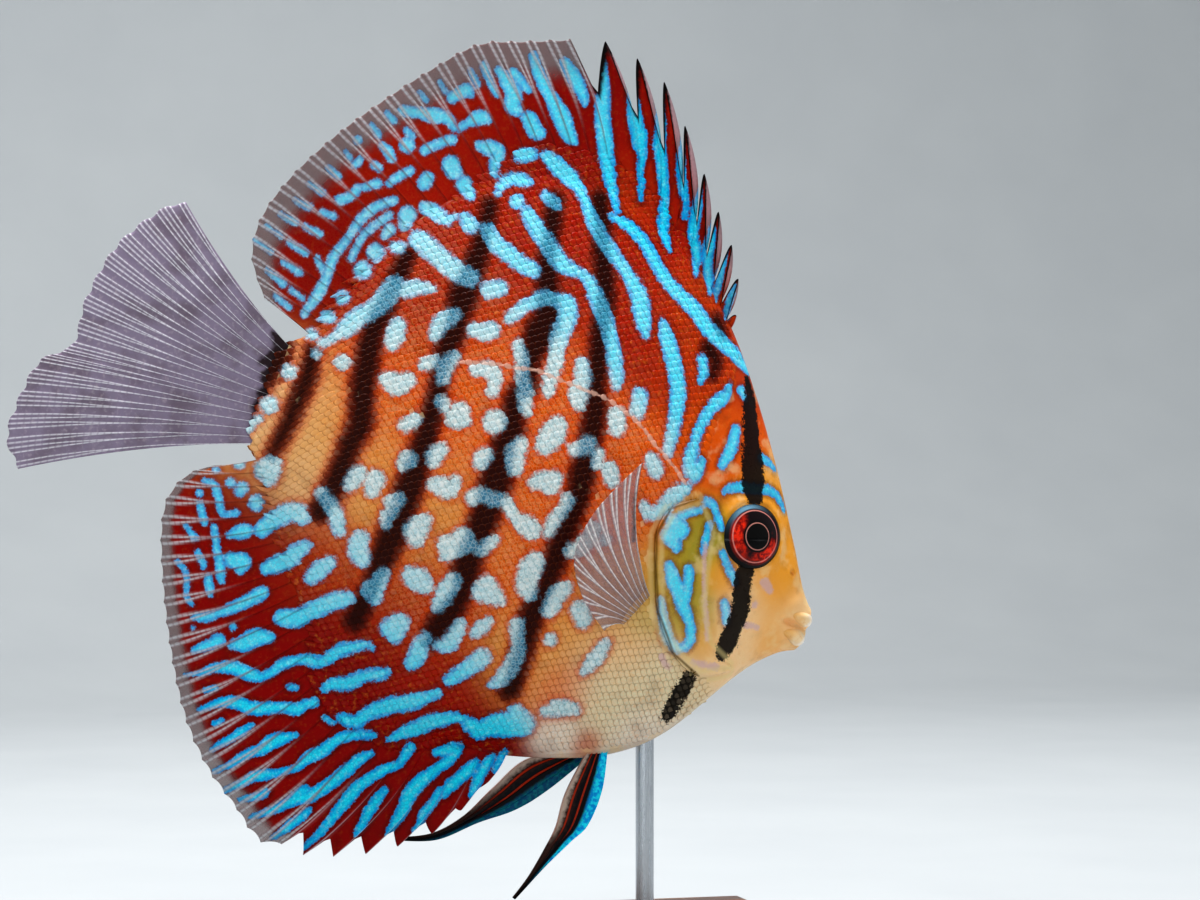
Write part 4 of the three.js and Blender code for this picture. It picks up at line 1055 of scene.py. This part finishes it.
# %% [markdown]
# ## Fins
# A fin is a web of thin skin stretched over bony rays. Each fin here is one closed sheet: lines of
# corners run out along the rays and between them, crowded where a ray is, and the sheet swells there
# into a ridge. Soft rays fork on their way out, spines do not. The web between two spines is cut
# back behind each spine, which gives the front of the fin its row of blades.

# %% Sheet helpers
FIN_ROWS = 64
MEMBRANE = 0.25


def bezier(start, control, tip, f):
    f = f[:, None, None]
    return (1 - f) ** 2 * start + 2 * f * (1 - f) * control + f * f * tip


def make_sheet(name, place, half, side_y, ray, finish, slot, **values):
    """place is rows x lines x 2 in s and z; half is its half thickness and side_y its sideways place."""
    rows, lines = half.shape
    s, z = place[..., 0], place[..., 1]
    corners = [np.stack([s, side_y + sign * half, z], axis=-1).reshape(-1, 3) for sign in (-1, 1)]
    steps = np.hypot(*np.moveaxis(np.diff(place, axis=0, prepend=place[:1]), -1, 0))
    values |= {"ray": ray, "out": np.linspace(0, 1, rows)[:, None], "along": np.cumsum(steps, axis=0)}
    doubled = {key: np.tile(np.broadcast_to(value, half.shape).ravel(), 2) for key, value in values.items()}
    parts = plate_faces(rows, lines)
    a, b, c = [corners[0][parts[0][:, k]] for k in (0, 1, 2)]
    # s runs against x, so the sheet is turned when its right face looks left
    parts = turned(parts, np.cross(b - a, c - a)[:, 1].sum() < 0)
    make_piece(name, np.concatenate(corners), parts, finish, values=doubled,
               replaces=(name.replace("rays", "fin"),))


def ridge(u, f, forks, width):
    """1 on a ray and 0 between rays; u runs from one ray to the next, forks is how far they split."""
    centres = [end + offset(f)[:, None] for end in (0, 1) for offset in forks]
    return np.max([bell(u[None, :] - centre, width) for centre in centres], axis=0)


def forked(amount, start, end):
    """The two branches of a ray that splits from start to end of its length."""
    return [lambda f: amount * smooth(f, start, end), lambda f: -amount * smooth(f, start, end)]


def straight(f):
    return 0 * f


def fan_ridges(f, rays, lines, forks, width):
    """Ridges of a whole fan, with the same number of lines from each ray to the next."""
    line = np.tile(ridge(np.linspace(0, 1, lines, endpoint=False), f, forks, width), (1, rays - 1))
    return np.concatenate([line, line[:, :1]], axis=1)


def root_swell(f, share):
    """1 at the root of a fin, falling to 0 at 1 / share of its length."""
    return np.maximum(1 - share * f, 0)[:, None] ** 2


print("corners along a ray:", FIN_ROWS)

# %% Shapes of the dorsal and anal fins
DORSAL = {
    "edge": back, "up": 1, "base": (40.2, 76, 127.4), "crowd": 1.3, "bow": (0.2, 0.03), "soft": 24,
    "notch": (0.04, 0.62, 1.6), "ink": 1.0, "lappet": 0.36, "clear": 0.56,
    "spines": [(40.4, 54.8), (42.8, 62.8), (46.8, 69.3), (52.2, 75), (58.2, 81.6), (66.1, 89.8), (74, 97),
               (81.7, 99.3), (89.8, 99.9)],
    "margin": [(97.2, 97.6), (107.4, 93), (116, 88.6), (123.5, 79.6), (131.2, 68.7), (138.5, 57.1),
               (144, 45), (146.4, 34.5), (145, 26.6), (139.4, 19.8)],
}
ANAL = {
    "edge": belly, "up": -1, "base": (54.6, 80, 128.4), "crowd": 1.1, "bow": (0.14, 0.05), "soft": 23,
    "notch": (0.66, 0.86, 1), "ink": 0.15, "lappet": 0.24, "clear": 0.84,
    "spines": [(56.2, -60), (60, -67.7), (64, -74.6), (69.9, -79.8), (76, -83.6), (82.8, -86.4),
               (89.2, -88.2)],
    "margin": [(94.4, -87.6), (99.5, -88.6), (105.9, -84), (114.9, -78), (123.7, -69), (132.5, -55.3),
               (140.2, -40.1), (143.8, -29), (141.8, -21.6), (136.8, -17.4)],
}
print("rays of the dorsal fin:", len(DORSAL["spines"]) + DORSAL["soft"])

# %% Dorsal and anal fins
ROOT_DEPTH = 0.9
SWAY, SWAY_LENGTH = 1.2, 47
RAY_LINES = np.array([0, 0.05, 0.11, 0.19, 0.3, 0.43, 0.57, 0.7, 0.81, 0.89, 0.95])
LAPPET_AT, NOTCH_AT = 0.45, 0.86
SPINE_THICK, SOFT_THICK, TIP_THICK, ROOT_THICK = 0.66, 0.5, 0.34, 0.8
SPINE_WIDTH, SOFT_WIDTH = 0.07, 0.055
SCALLOP = 0.014


def spaced(edge, start, end, count, crowd=1.0):
    fine = np.linspace(start, end, 401)
    length = length_along(np.stack([fine, edge(fine)], axis=1))
    return np.interp(length[-1] * (np.arange(count) / (count - 1)) ** crowd, length, fine)


def root_of(edge, s, up):
    slope = slope_of(edge, s)
    out = np.stack([-slope, np.ones_like(slope)], axis=-1)
    out *= up / np.linalg.norm(out, axis=-1, keepdims=True)
    return np.stack([s, edge(s)], axis=-1) - ROOT_DEPTH * out


def ray_control(start, tip, bow, up):
    chord = tip - start
    return (start + tip) / 2 + bow * up * np.stack([-chord[..., 1], chord[..., 0]], axis=-1)


def ray_paths(shape):
    """Where along the base each ray is rooted, and its start, control, tip and bow."""
    edge, up = shape["edge"], shape["up"]
    first, soft_first, soft_last = shape["base"]
    spines = np.array(shape["spines"], float)
    spine_roots = spaced(edge, first, soft_first, len(spines) + 1, shape["crowd"])[:-1]
    soft_roots = spaced(edge, soft_first, soft_last, shape["soft"])
    soft_tips = even_spline(shape["margin"], np.linspace(0, 1, shape["soft"]))
    roots, tips = np.concatenate([spine_roots, soft_roots]), np.concatenate([spines, soft_tips])
    n = np.arange(len(roots))
    spine_bow, soft_bow = shape["bow"]
    fading = soft_bow + (spine_bow - soft_bow) * 0.5 ** (n - len(spines) + 1.0)
    bow = np.where(n < len(spines), spine_bow, fading)
    start = root_of(edge, roots, up)
    return roots, start, ray_control(start, tips, bow[:, None], up), tips, bow


def upright_fin(name, shape, finish, slot):
    edge, up = shape["edge"], shape["up"]
    spines = len(shape["spines"])
    roots, start, control, tip, bow = ray_paths(shape)
    f = np.linspace(0, 1, FIN_ROWS)

    def ray(n, f):
        return bezier(start[n:n + 1], control[n:n + 1], tip[n:n + 1], np.atleast_1d(f))

    def between(n, u, end, bend):
        """A line of web from the base to a given end, between ray n and the next."""
        begin = root_of(edge, np.array([roots[n] + (roots[n + 1] - roots[n]) * u]), up)
        return bezier(begin, ray_control(begin, end, bend, up), end, f)

    def spine_web(n):
        low, high, power = shape["notch"]
        rise = low + (high - low) * (n / (spines - 1)) ** power
        dip = 0.9 * ray(n + 1, rise)[0] + 0.1 * ray(n, rise)[0]
        lappet = tip[n:n + 1] + (dip - tip[n:n + 1]) * shape["lappet"]
        lappet = lappet + (ray(n + 1, 0.8)[0] - lappet) * 0.1
        lappet_line = between(n, LAPPET_AT, lappet, bow[n])
        dip_line = between(n, NOTCH_AT, dip, bow[n] * rise * rise)
        m = LAPPET_AT / NOTCH_AT
        for u in RAY_LINES:
            x, share = u / NOTCH_AT, (u - NOTCH_AT) / (1 - NOTCH_AT)
            if x <= 1:
                yield ((x - m) * (x - 1) / m * ray(n, f) + x * (x - 1) / (m * (m - 1)) * lappet_line
                       + x * (x - m) / (1 - m) * dip_line)
            else:
                yield (1 - share) * dip_line + share * ray(n + 1, f)

    def soft_web(n):
        end = (tip[n:n + 1] + tip[n + 1:n + 2]) / 2
        middle = between(n, 0.5, end + (start[n:n + 1] - end) * SCALLOP, bow[n])
        for u in RAY_LINES:
            yield ((1 - u) * (1 - 2 * u) * ray(n, f) + 4 * u * (1 - u) * middle
                   + u * (2 * u - 1) * ray(n + 1, f))

    def thickness(thick, line):
        web = MEMBRANE + 0 * f[:, None]
        return web + (thick + (TIP_THICK - thick) * f[:, None] - web) * line

    kinds = {True: (spine_web, [straight], SPINE_THICK, SPINE_WIDTH),
             False: (soft_web, forked(0.16, 0.5, 0.95), SOFT_THICK, SOFT_WIDTH)}
    last = np.ones((FIN_ROWS, 1))
    columns, halves, rays, flags = [], [], [], []
    for n in range(len(roots) - 1):
        web, forks, thick, width = kinds[n < spines]
        line = ridge(RAY_LINES, f, forks, width)
        columns += list(web(n))
        halves.append(thickness(thick, line))
        rays.append(line)
        flags.append(np.full(line.shape, float(n < spines)))
    place = np.concatenate(columns + [ray(len(roots) - 1, f)], axis=1)
    half = np.concatenate(halves + [thickness(SOFT_THICK, last)], axis=1)
    half = half + (ROOT_THICK - half) * root_swell(f, 4)
    side_y = SWAY * f[:, None] ** 2 * np.sin(2 * math.pi * (place[..., 0] - place[..., 1]) / SWAY_LENGTH)
    make_sheet(name, place, half, side_y, np.concatenate(rays + [last], axis=1), finish, slot,
               spine=np.concatenate(flags + [0 * last], axis=1), haze=smooth(f, shape["clear"], 1.0)[:, None],
               ink=shape["ink"])


print("lines between two rays:", len(RAY_LINES))

# %% [markdown]
# ### Finish of the upright fins
# The web is red skin with the same blue strokes as the flank, thinning to a smoky clear edge where
# the forked tips of the rays shine pale. The spines of the dorsal fin are edged with black at their
# tips.

# %% Fin finish
def fin_finish():
    finish = Finish("banded_fin")
    ray, out, spine, haze, ink = [finish.attribute(name) for name in ("ray", "out", "spine", "haze", "ink")]
    soft = 1 - spine
    cut = ray * soft * out.step(0.2, 0.6, 0.75)
    colour, blue, fine = fish_colour(finish, wobble=0.45, lace=0.4, freckle=0.25, cut=cut)
    joints = finish.rings(5.2).step(0.2, 1)
    edge = (haze + (fine - 0.5) * 0.3).step(0.1, 0.8) * soft
    pale_ray = ray * soft * out.step(0.35, 0.95) * (1 - joints * 0.35)
    tip = (out + (fine - 0.5) * 0.08).step(0.9, 0.985) * spine * ink
    colour = finish.coats(
        colour,
        ("604c4a", edge * (1 - blue * 0.75) * 0.78),
        ("e4ebf0", pale_ray * (0.85 - blue * 0.25)),
        ("3c0604", ray * soft * (1 - out.step(0.3, 0.7)) * 0.45),
        # painted highlight: a pale line painted along each spine
        ("d8e4ee", ray * spine * out.step(0.3, 0.8) * 0.45),
        ("0c0606", tip))
    clear = edge * (1 - ray) * (1 - blue * 0.7)
    return finish.surface(Base_Color=colour, Alpha=1 - clear * 0.45, IOR=1.4, Specular_IOR_Level=0.08,
                          Roughness=fine.step(0.2, 0.9, 0.2) + 0.28, Coat_Weight=0.05, Coat_Roughness=0.2,
                          Normal=finish.bump(ray * 0.6 + fine * 0.4 + joints * ray * 0.5, 0.08, 0.6))


FIN = fin_finish()
upright_fin("dorsal_rays", DORSAL, FIN, "dorsal_fin")
upright_fin("anal_rays", ANAL, FIN, "anal_fin")

# %% [markdown]
# ## Tail fin
# The tail is a clear, smoky fan. Its rays fork twice, and are ringed by tiny joints that catch the
# light. Where it leaves the body it is blotched with black.

# %% Finish of the clear fins
def clear_finish(name, web, ray_colour, web_alpha, stain, stain_amount):
    finish = Finish(name)
    ray, fine, patch = finish.attribute("ray"), finish.noise(0.9, 3), finish.noise(7, 4)
    joints = finish.rings(4.4).step(0.3, 1)
    dark = (finish.attribute("mark") + (fine - 0.5) * 1.8 + (patch - 0.5) * 2).step(-0.6, 0.8)
    shine = ray * (1 - joints * 0.4)
    colour = finish.coats(
        web,
        (stain, patch.step(0.42, 0.72, stain_amount)),
        ("e9d9dc", fine.step(0.5, 0.8, 0.25)),
        ("200a04", dark * 0.94),
        (ray_colour, shine * (0.92 - dark * 0.3)))
    alpha = web_alpha + (1 - web_alpha) * ray.maths("MAXIMUM", ray, dark)
    return finish.surface(Base_Color=colour, Alpha=alpha, Roughness=0.34, IOR=1.38, Specular_IOR_Level=0.15,
                          Coat_Weight=0.08, Coat_Roughness=0.2,
                          Normal=finish.bump(ray + joints * ray * 0.5 + fine * 0.3, 0.08, 0.7))


TAIL = clear_finish("smoky_tail", "95859e", "fbfaff", 0.74, "4e3038", 0.5)
CLEAR = clear_finish("clear_pectoral", "a8989e", "fbf7f4", 0.34, "8c6c70", 0.4)
print("clear fins ready")

# %% Tail fin
TAIL_MARGIN = [(162, 33), (166.4, 29.6), (172.4, 19), (174.4, 6), (173.6, -4), (178.8, -10), (180, -20.4),
               (179.2, -27.6), (174.6, -32.6)]
TAIL_RAYS, TAIL_LINES, TAIL_ROWS = 15, 26, 76
TAIL_ROOT, TAIL_BEND, TAIL_INSET, TAIL_BOW = 1.5, 3, 0.4, 0.36
TAIL_BLOTCHES = strokes("""
    292 336 12, 282 340 9, 274 334 4; 286 352 12, 274 360 9, 262 362 4; 280 368 11, 266 378 7; 274 386 9,
    262 392 5; 268 402 9, 258 408 5; 262 420 8, 254 426 5""")
FIELDS["mark"] = paint(TAIL_BLOTCHES)


def tail_fan():
    u = np.linspace(0, 1, (TAIL_RAYS - 1) * TAIL_LINES + 1)
    f = np.linspace(0, 1, TAIL_ROWS)
    top, low = back(BODY_END) - TAIL_INSET, belly(BODY_END) + TAIL_INSET
    start = np.stack([np.full_like(u, BODY_END - TAIL_ROOT), top + (low - top) * u], axis=1)
    tip = even_spline(TAIL_MARGIN, u)
    local = np.abs(u * (TAIL_RAYS - 1) - np.round(u * (TAIL_RAYS - 1)))
    tip = tip - 0.5 * smooth(local, 0.1, 0.5)[:, None] * (tip - start) / 40
    control = np.stack([(start[:, 0] + tip[:, 0]) / 2, start[:, 1] + (tip[:, 1] - start[:, 1]) * TAIL_BOW],
                       axis=1)
    forks = [lambda g, a=a, b=b: a(g) + b(g) for a in forked(0.2, 0.12, 0.5) for b in forked(0.1, 0.5, 0.9)]
    line = fan_ridges(f, TAIL_RAYS, TAIL_LINES, forks, 0.026)
    half = 0.24 + (0.5 - 0.3 * f)[:, None] * line * 0.8
    half = half + (0.9 - half) * root_swell(f, 5)
    make_sheet("caudal_rays", bezier(start, control, tip, f), half, TAIL_BEND * f[:, None] ** 2, line, TAIL,
               "caudal_fin")


tail_fan()

# %% [markdown]
# ## Paired fins
# The pectoral fins stand out from the flank like small clear fans. The pelvic fins hang below the
# breast as narrow blades that run out into threads, blue along the front and nearly black behind.

# %% Pectoral fins
PECTORAL_ROOT = np.array([(39.9, -10.4), (43, -18.2)])
PECTORAL_MARGIN = [(53.8, 15.2), (57, 8.4), (59.4, 2.2), (60.4, -4), (59.4, -10.2), (54, -16.6), (47, -21)]
PECTORAL_RAYS, PECTORAL_LINES = 11, 12
PECTORAL_BEND = (-5.2, 1.5)
PECTORAL_LIFT, PECTORAL_SPREAD = 1.3, 0.24
PECTORAL_STREAKS = strokes("""
    634 472 2, 630 500 3, 628 540 2; 646 470 2, 642 505 3, 640 545 2""")
FIELDS["mark"] = paint(PECTORAL_STREAKS)


def pectoral(name, side):
    u = np.linspace(0, 1, (PECTORAL_RAYS - 1) * PECTORAL_LINES + 1)
    f = np.linspace(0, 1, FIN_ROWS)
    upper, lower = PECTORAL_ROOT
    start = upper + (lower - upper) * u[:, None]
    tip = even_spline(PECTORAL_MARGIN, u)
    chord = tip - start
    square = np.stack([chord[:, 1], -chord[:, 0]], axis=1) / np.linalg.norm(chord, axis=1, keepdims=True)
    bend = PECTORAL_BEND[0] + (PECTORAL_BEND[1] - PECTORAL_BEND[0]) * u
    place = bezier(start, (start + tip) / 2 - bend[:, None] * square, tip, f)
    line = fan_ridges(f, PECTORAL_RAYS, PECTORAL_LINES, forked(0.18, 0.5, 0.95), 0.07)
    half = 0.22 + (0.24 - 0.12 * f)[:, None] * line + 0.35 * root_swell(f, 5)
    away = np.linalg.norm(place - place[:1], axis=-1)
    lift = PECTORAL_LIFT * smooth(f, 0, 0.3)[:, None] + PECTORAL_SPREAD * away
    side_y = side * (flank(place[..., 0], place[..., 1]) + lift)
    make_sheet(name, place, half, side_y, line, CLEAR, "pectoral_fin")


for side, word in SIDES:
    pectoral("pectoral_rays_" + word, side)

# %% Pelvic fins
# where the fin is rooted, its front edge, its rear edge and how blue it is
PELVIC = {
    "right": ((34.4, 38.2), [(32.6, -53), (33.2, -61.2), (35.8, -66), (39.4, -73), (43.1, -81.7)],
              [(40, -56.5), (39.8, -64), (40.6, -69), (42, -76), (43.7, -81.5)], 1.0),
    "left": ((34.8, 39.2), [(41.6, -56.4), (47, -63.6), (53.8, -69.2), (61, -75.7), (69.2, -78.8)],
             [(49, -52.6), (53.6, -61), (57.4, -69), (62.6, -74.8), (69.6, -78.2)], 0.25),
}
PELVIC_RAYS, PELVIC_LINES, PELVIC_ROWS = 5, 12, 90
PELVIC_APART, PELVIC_SPREAD = 1.95, 4


def pelvic_finish():
    finish = Finish("pelvic_blade")
    ray, out, front = [finish.attribute(name) for name in ("ray", "out", "front")]
    fine = finish.noise(0.9, 3)
    early = 1 - (out + (fine - 0.5) * 0.2).step(0.3, 0.62)
    blue = (1 - (front + (fine - 0.5) * 0.1).step(0.24, 0.36)) * (1 - out.step(0.7, 0.92))
    streak = (front + (fine - 0.5) * 0.2).step(0.78, 0.95) * early
    colour = finish.coats(
        "0a0a10",
        ("3c241e", (front + (fine - 0.5) * 0.3).step(0.55, 0.8)),
        ("b03010", ray.step(0.1, 0.6) * front.step(0.3, 0.5) * early),
        (finish.coats(CYAN_DEEP, (CYAN, fine.step(0.4, 0.6))), blue * finish.attribute("near")),
        ("d8c4b4", streak * 0.75))
    return finish.surface(Base_Color=colour, Roughness=0.36, Coat_Weight=0.08, Coat_Roughness=0.2,
                          Specular_IOR_Level=0.08, Normal=finish.bump(ray + fine * 0.4, 0.1, 0.7))


def pelvic(name, side, root, front, rear, blueness):
    u = np.linspace(0, 1, (PELVIC_RAYS - 1) * PELVIC_LINES + 1)
    f = np.linspace(0, 1, PELVIC_ROWS)
    edges = [spline([(s, float(belly(s)) + 0.6), *points], f) for s, points in zip(root, (front, rear))]
    place = edges[0][:, None, :] * (1 - u)[None, :, None] + edges[1][:, None, :] * u[None, :, None]
    line = fan_ridges(f, PELVIC_RAYS, PELVIC_LINES, [straight], 0.1)
    half = 0.22 + (0.3 - 0.16 * f)[:, None] * line + 0.5 * root_swell(f, 4)
    side_y = side * (PELVIC_APART + PELVIC_SPREAD * np.sin(0.6 * math.pi * f)[:, None])
    make_sheet(name, place, half, side_y, line, PELVIC_SKIN, "pelvic_fin", front=u[None, :], near=blueness)


PELVIC_SKIN = pelvic_finish()
for side, word in SIDES:
    pelvic("pelvic_rays_" + word, side, *PELVIC[word])

# %% [markdown]
# ## Eyes
# The eye is a wide flat dome. Seen square on it has a black pupil, a dark iris crossed by glowing
# red and a thin pale ring on either side of it. Its colours depend only on how far a place is from
# the middle and in which direction, so each corner keeps those two numbers.

# %% Eyes
EYE_RADIUS, EYE_DEPTH, EYE_SINK = 8.0, 4.0, 1.9
EYE_ARC = math.pi * 0.62
IRIS_RISE, IRIS_RADIUS = 0.28, 4.2
EYE_RINGS, EYE_SPOKES = 60, 96
EYE_STEP = 0.5
PALE_RINGS = ((2.95, "c8887c"), (5.7, "d88a80"))
# directions of the red glow with its strength there, and of the painted reflection, a bluish arc painted on
# the rim
GLOW = ((math.radians(200), 1.0), (math.radians(-35), 0.85))
PAINTED_REFLECTION_TURN = math.radians(130)


def eye_finish():
    finish = Finish("ringed_eye")
    ring, turn = finish.attribute("ring"), finish.attribute("turn")
    fine, streak = finish.noise(0.7, 3), finish.noise(1.6, 2)
    red = finish.coats("8c0a04", ("f2300c", (fine + streak).step(0.8, 1.15)))
    glow = (turn + (streak - 0.5) * 0.5).step(0.1, 0.8)
    colour = finish.coats("14040a", (red, glow), ("040205", 1 - ring.step(3.3, 4.0)))
    for radius, tone in PALE_RINGS:
        off = ring.maths("ABSOLUTE", ring - radius)
        colour = finish.coats(colour, (tone, (1 - off.step(0.07, 0.2)) * 0.85))
    colour = finish.coats(
        colour,
        (finish.coats("24060a", ("6c120a", glow)), ring.step(5.85, 6.05)),
        ("050304", ring.step(6.2, 6.5)),
        # painted reflection: a pale blue arc painted on the dark rim of the eye
        ("7fb4d0", finish.attribute("painted_rim_reflection") * ring.step(5.9, 6.3) * 0.7),
        ("010101", 1 - ring.step(2.75, 2.88)))
    return finish.surface(Base_Color=colour, Roughness=0.2, Coat_Weight=0.2, Coat_Roughness=0.02, IOR=1.4,
                          Specular_IOR_Level=0.1)


def eye(name, side, finish):
    s0, z0 = EYE_AT
    slope_s = (flank(s0 + EYE_STEP, z0) - flank(s0 - EYE_STEP, z0)) / (2 * EYE_STEP)
    slope_z = (flank(s0, z0 + EYE_STEP) - flank(s0, z0 - EYE_STEP)) / (2 * EYE_STEP)
    square = np.array([-slope_s, 1, -slope_z])
    square /= np.linalg.norm(square)
    across = np.cross(square, (0, 0, 1))
    across /= np.linalg.norm(across)
    up = np.cross(across, square)
    up *= np.sign(up[2])
    polar = np.linspace(0.004, EYE_ARC, EYE_RINGS)[:, None]
    angle = 2 * math.pi * np.arange(EYE_SPOKES)[None, :] / EYE_SPOKES
    radius = EYE_RADIUS * np.sin(polar)
    height = EYE_DEPTH * np.cos(polar) + IRIS_RISE * bell(radius, IRIS_RADIUS) - EYE_SINK
    shape = (EYE_RINGS, EYE_SPOKES)
    ahead, above, height = [np.broadcast_to(x, shape)[..., None]
                            for x in (radius * np.cos(angle), radius * np.sin(angle), height)]
    centre = np.array([s0, float(flank(s0, z0)), z0])
    corners = (centre - ahead * across + above * up + height * square).reshape(-1, 3) * np.array([1, side, 1])
    spokes = np.arange(EYE_SPOKES)[None, :]
    parts = [grid_faces(*shape, closed=True), spokes[:, ::-1], (EYE_RINGS - 1) * EYE_SPOKES + spokes]
    lean = np.max([strength * np.cos(angle - way) for way, strength in GLOW], axis=0)
    # where on the rim the painted reflection lies
    painted_reflection = bell(np.angle(np.exp(1j * (angle - PAINTED_REFLECTION_TURN))), 0.6)
    values = {"ring": radius, "turn": np.maximum(lean, 0) ** 2, "painted_rim_reflection": painted_reflection}
    values = {key: np.broadcast_to(value, shape) for key, value in values.items()}
    make_piece(name, corners, turned(parts, side > 0), finish, replaces=(name.replace("ball", ""),),
               values=values)


EYE = eye_finish()
for side, word in SIDES:
    eye("eyeball_" + word, side, EYE)

# %% [markdown]
# ## Stand
# The stand keeps the CAD's own meshes, because their shapes are right: a thin steel rod and a dark
# wooden base. They only need finishes, which go into the slots of their objects. Wood is stretched
# noise along the grain, and brushed steel is fine noise drawn out along the rod.

# %% Stand finishes
def wood_finish():
    finish = Finish("dark_wood")
    rings = finish.noise(3.2, 5, stretch=(0.12, 1, 1), roughness=0.6)
    pores = finish.noise(0.5, 3, stretch=(0.06, 1, 1))
    colour = finish.coats("3a1f10", ("7a4a28", rings.step(0.35, 0.68)),
                          ("1c0e07", pores.step(0.55, 0.72, 0.7)))
    return finish.surface(Base_Color=colour, Roughness=rings.step(0.3, 0.7, 0.12) + 0.34, Coat_Weight=0.25,
                          Coat_Roughness=0.25, Normal=finish.bump(rings + pores, 0.08, 0.5))


def steel_finish():
    finish = Finish("brushed_steel")
    lines = finish.noise(0.3, 3, stretch=(1, 1, 0.04))
    return finish.surface(Base_Color=finish.coats("9aa0a6", ("d2d6da", lines)), Metallic=1.0,
                          Roughness=lines.step(0.2, 0.8, 0.2) + 0.2, Normal=finish.bump(lines, 0.02, 0.5))


for node, finish in (("stand_base", wood_finish()), ("stand_rod", steel_finish())):
    slot = bpy.data.objects[node].material_slots[0]
    slot.link = "OBJECT"
    slot.material = finish
print("stand dressed")

# %% [markdown]
# ## Floor and light
# A museum photographs such a model on a pale sweep of paper, with a big soft light above and to the
# left, a weaker one to the right, one low in front, one overhead and the walls' own light all round.

# %% Stage
SWEEP_WIDTH, SWEEP_FRONT, SWEEP_BACK, SWEEP_TURN, SWEEP_TOP = 8.0, -9.0, 0.75, 0.5, 2.2
MIDDLE = (0.0, 0.0, 0.11)
# each light's place, the side of its square and its power
LIGHTS = {
    "key": ((-0.5, -0.85, 0.7), 0.45, 72.0),
    "fill": ((0.75, -0.6, 0.35), 0.6, 15.0),
    "low": ((-0.45, -0.95, 0.06), 0.5, 13.0),
    "top": ((0.0, 0.1, 0.95), 0.5, 14.0),
}


def paper_finish():
    finish = Finish("pale_paper")
    return finish.surface(Base_Color=finish.coats("a4a8ab", ("adb1b3", finish.noise(60, 3))), Roughness=0.8)


def paper_sweep():
    profile = [(SWEEP_FRONT, 0.0), (SWEEP_BACK, 0.0)]
    profile += [(SWEEP_BACK + SWEEP_TURN * math.sin(a), SWEEP_TURN * (1 - math.cos(a)))
                for a in np.linspace(0, math.pi / 2, 24)[1:]]
    profile.append((SWEEP_BACK + SWEEP_TURN, SWEEP_TOP))
    corners = [(x, y, z) for y, z in profile for x in (-SWEEP_WIDTH, SWEEP_WIDTH)]
    faces = [(2 * i, 2 * i + 1, 2 * i + 3, 2 * i + 2) for i in range(len(profile) - 1)]
    mesh = bpy.data.meshes.new("paper_sweep")
    mesh.from_pydata(corners, [], faces)
    mesh.shade_smooth()
    mesh.materials.append(paper_finish())
    sweep = bpy.data.objects.new("paper_sweep", mesh)
    bpy.context.collection.objects.link(sweep)


def soft_light(name, place, size, power):
    data = bpy.data.lights.new(name, "AREA")
    data.shape, data.size, data.energy = "SQUARE", size, power
    light = bpy.data.objects.new(name, data)
    light.location = place
    direction = np.array(MIDDLE) - np.array(place)
    down = math.atan2(math.hypot(direction[0], direction[1]), -direction[2])
    light.rotation_euler = (down, 0, math.atan2(direction[0], -direction[1]))
    bpy.context.collection.objects.link(light)


paper_sweep()
for name, light in LIGHTS.items():
    soft_light(name, *light)

surroundings = bpy.data.worlds.new("surroundings")
surroundings.use_nodes = True
surroundings.node_tree.nodes["Background"].inputs["Color"].default_value = (0.93, 0.95, 0.96, 1)
surroundings.node_tree.nodes["Background"].inputs["Strength"].default_value = 0.6
bpy.context.scene.world = surroundings
bpy.context.scene.view_settings.view_transform = "Standard"
bpy.context.scene.view_settings.look = "Medium High Contrast"
print("lights:", len(LIGHTS))
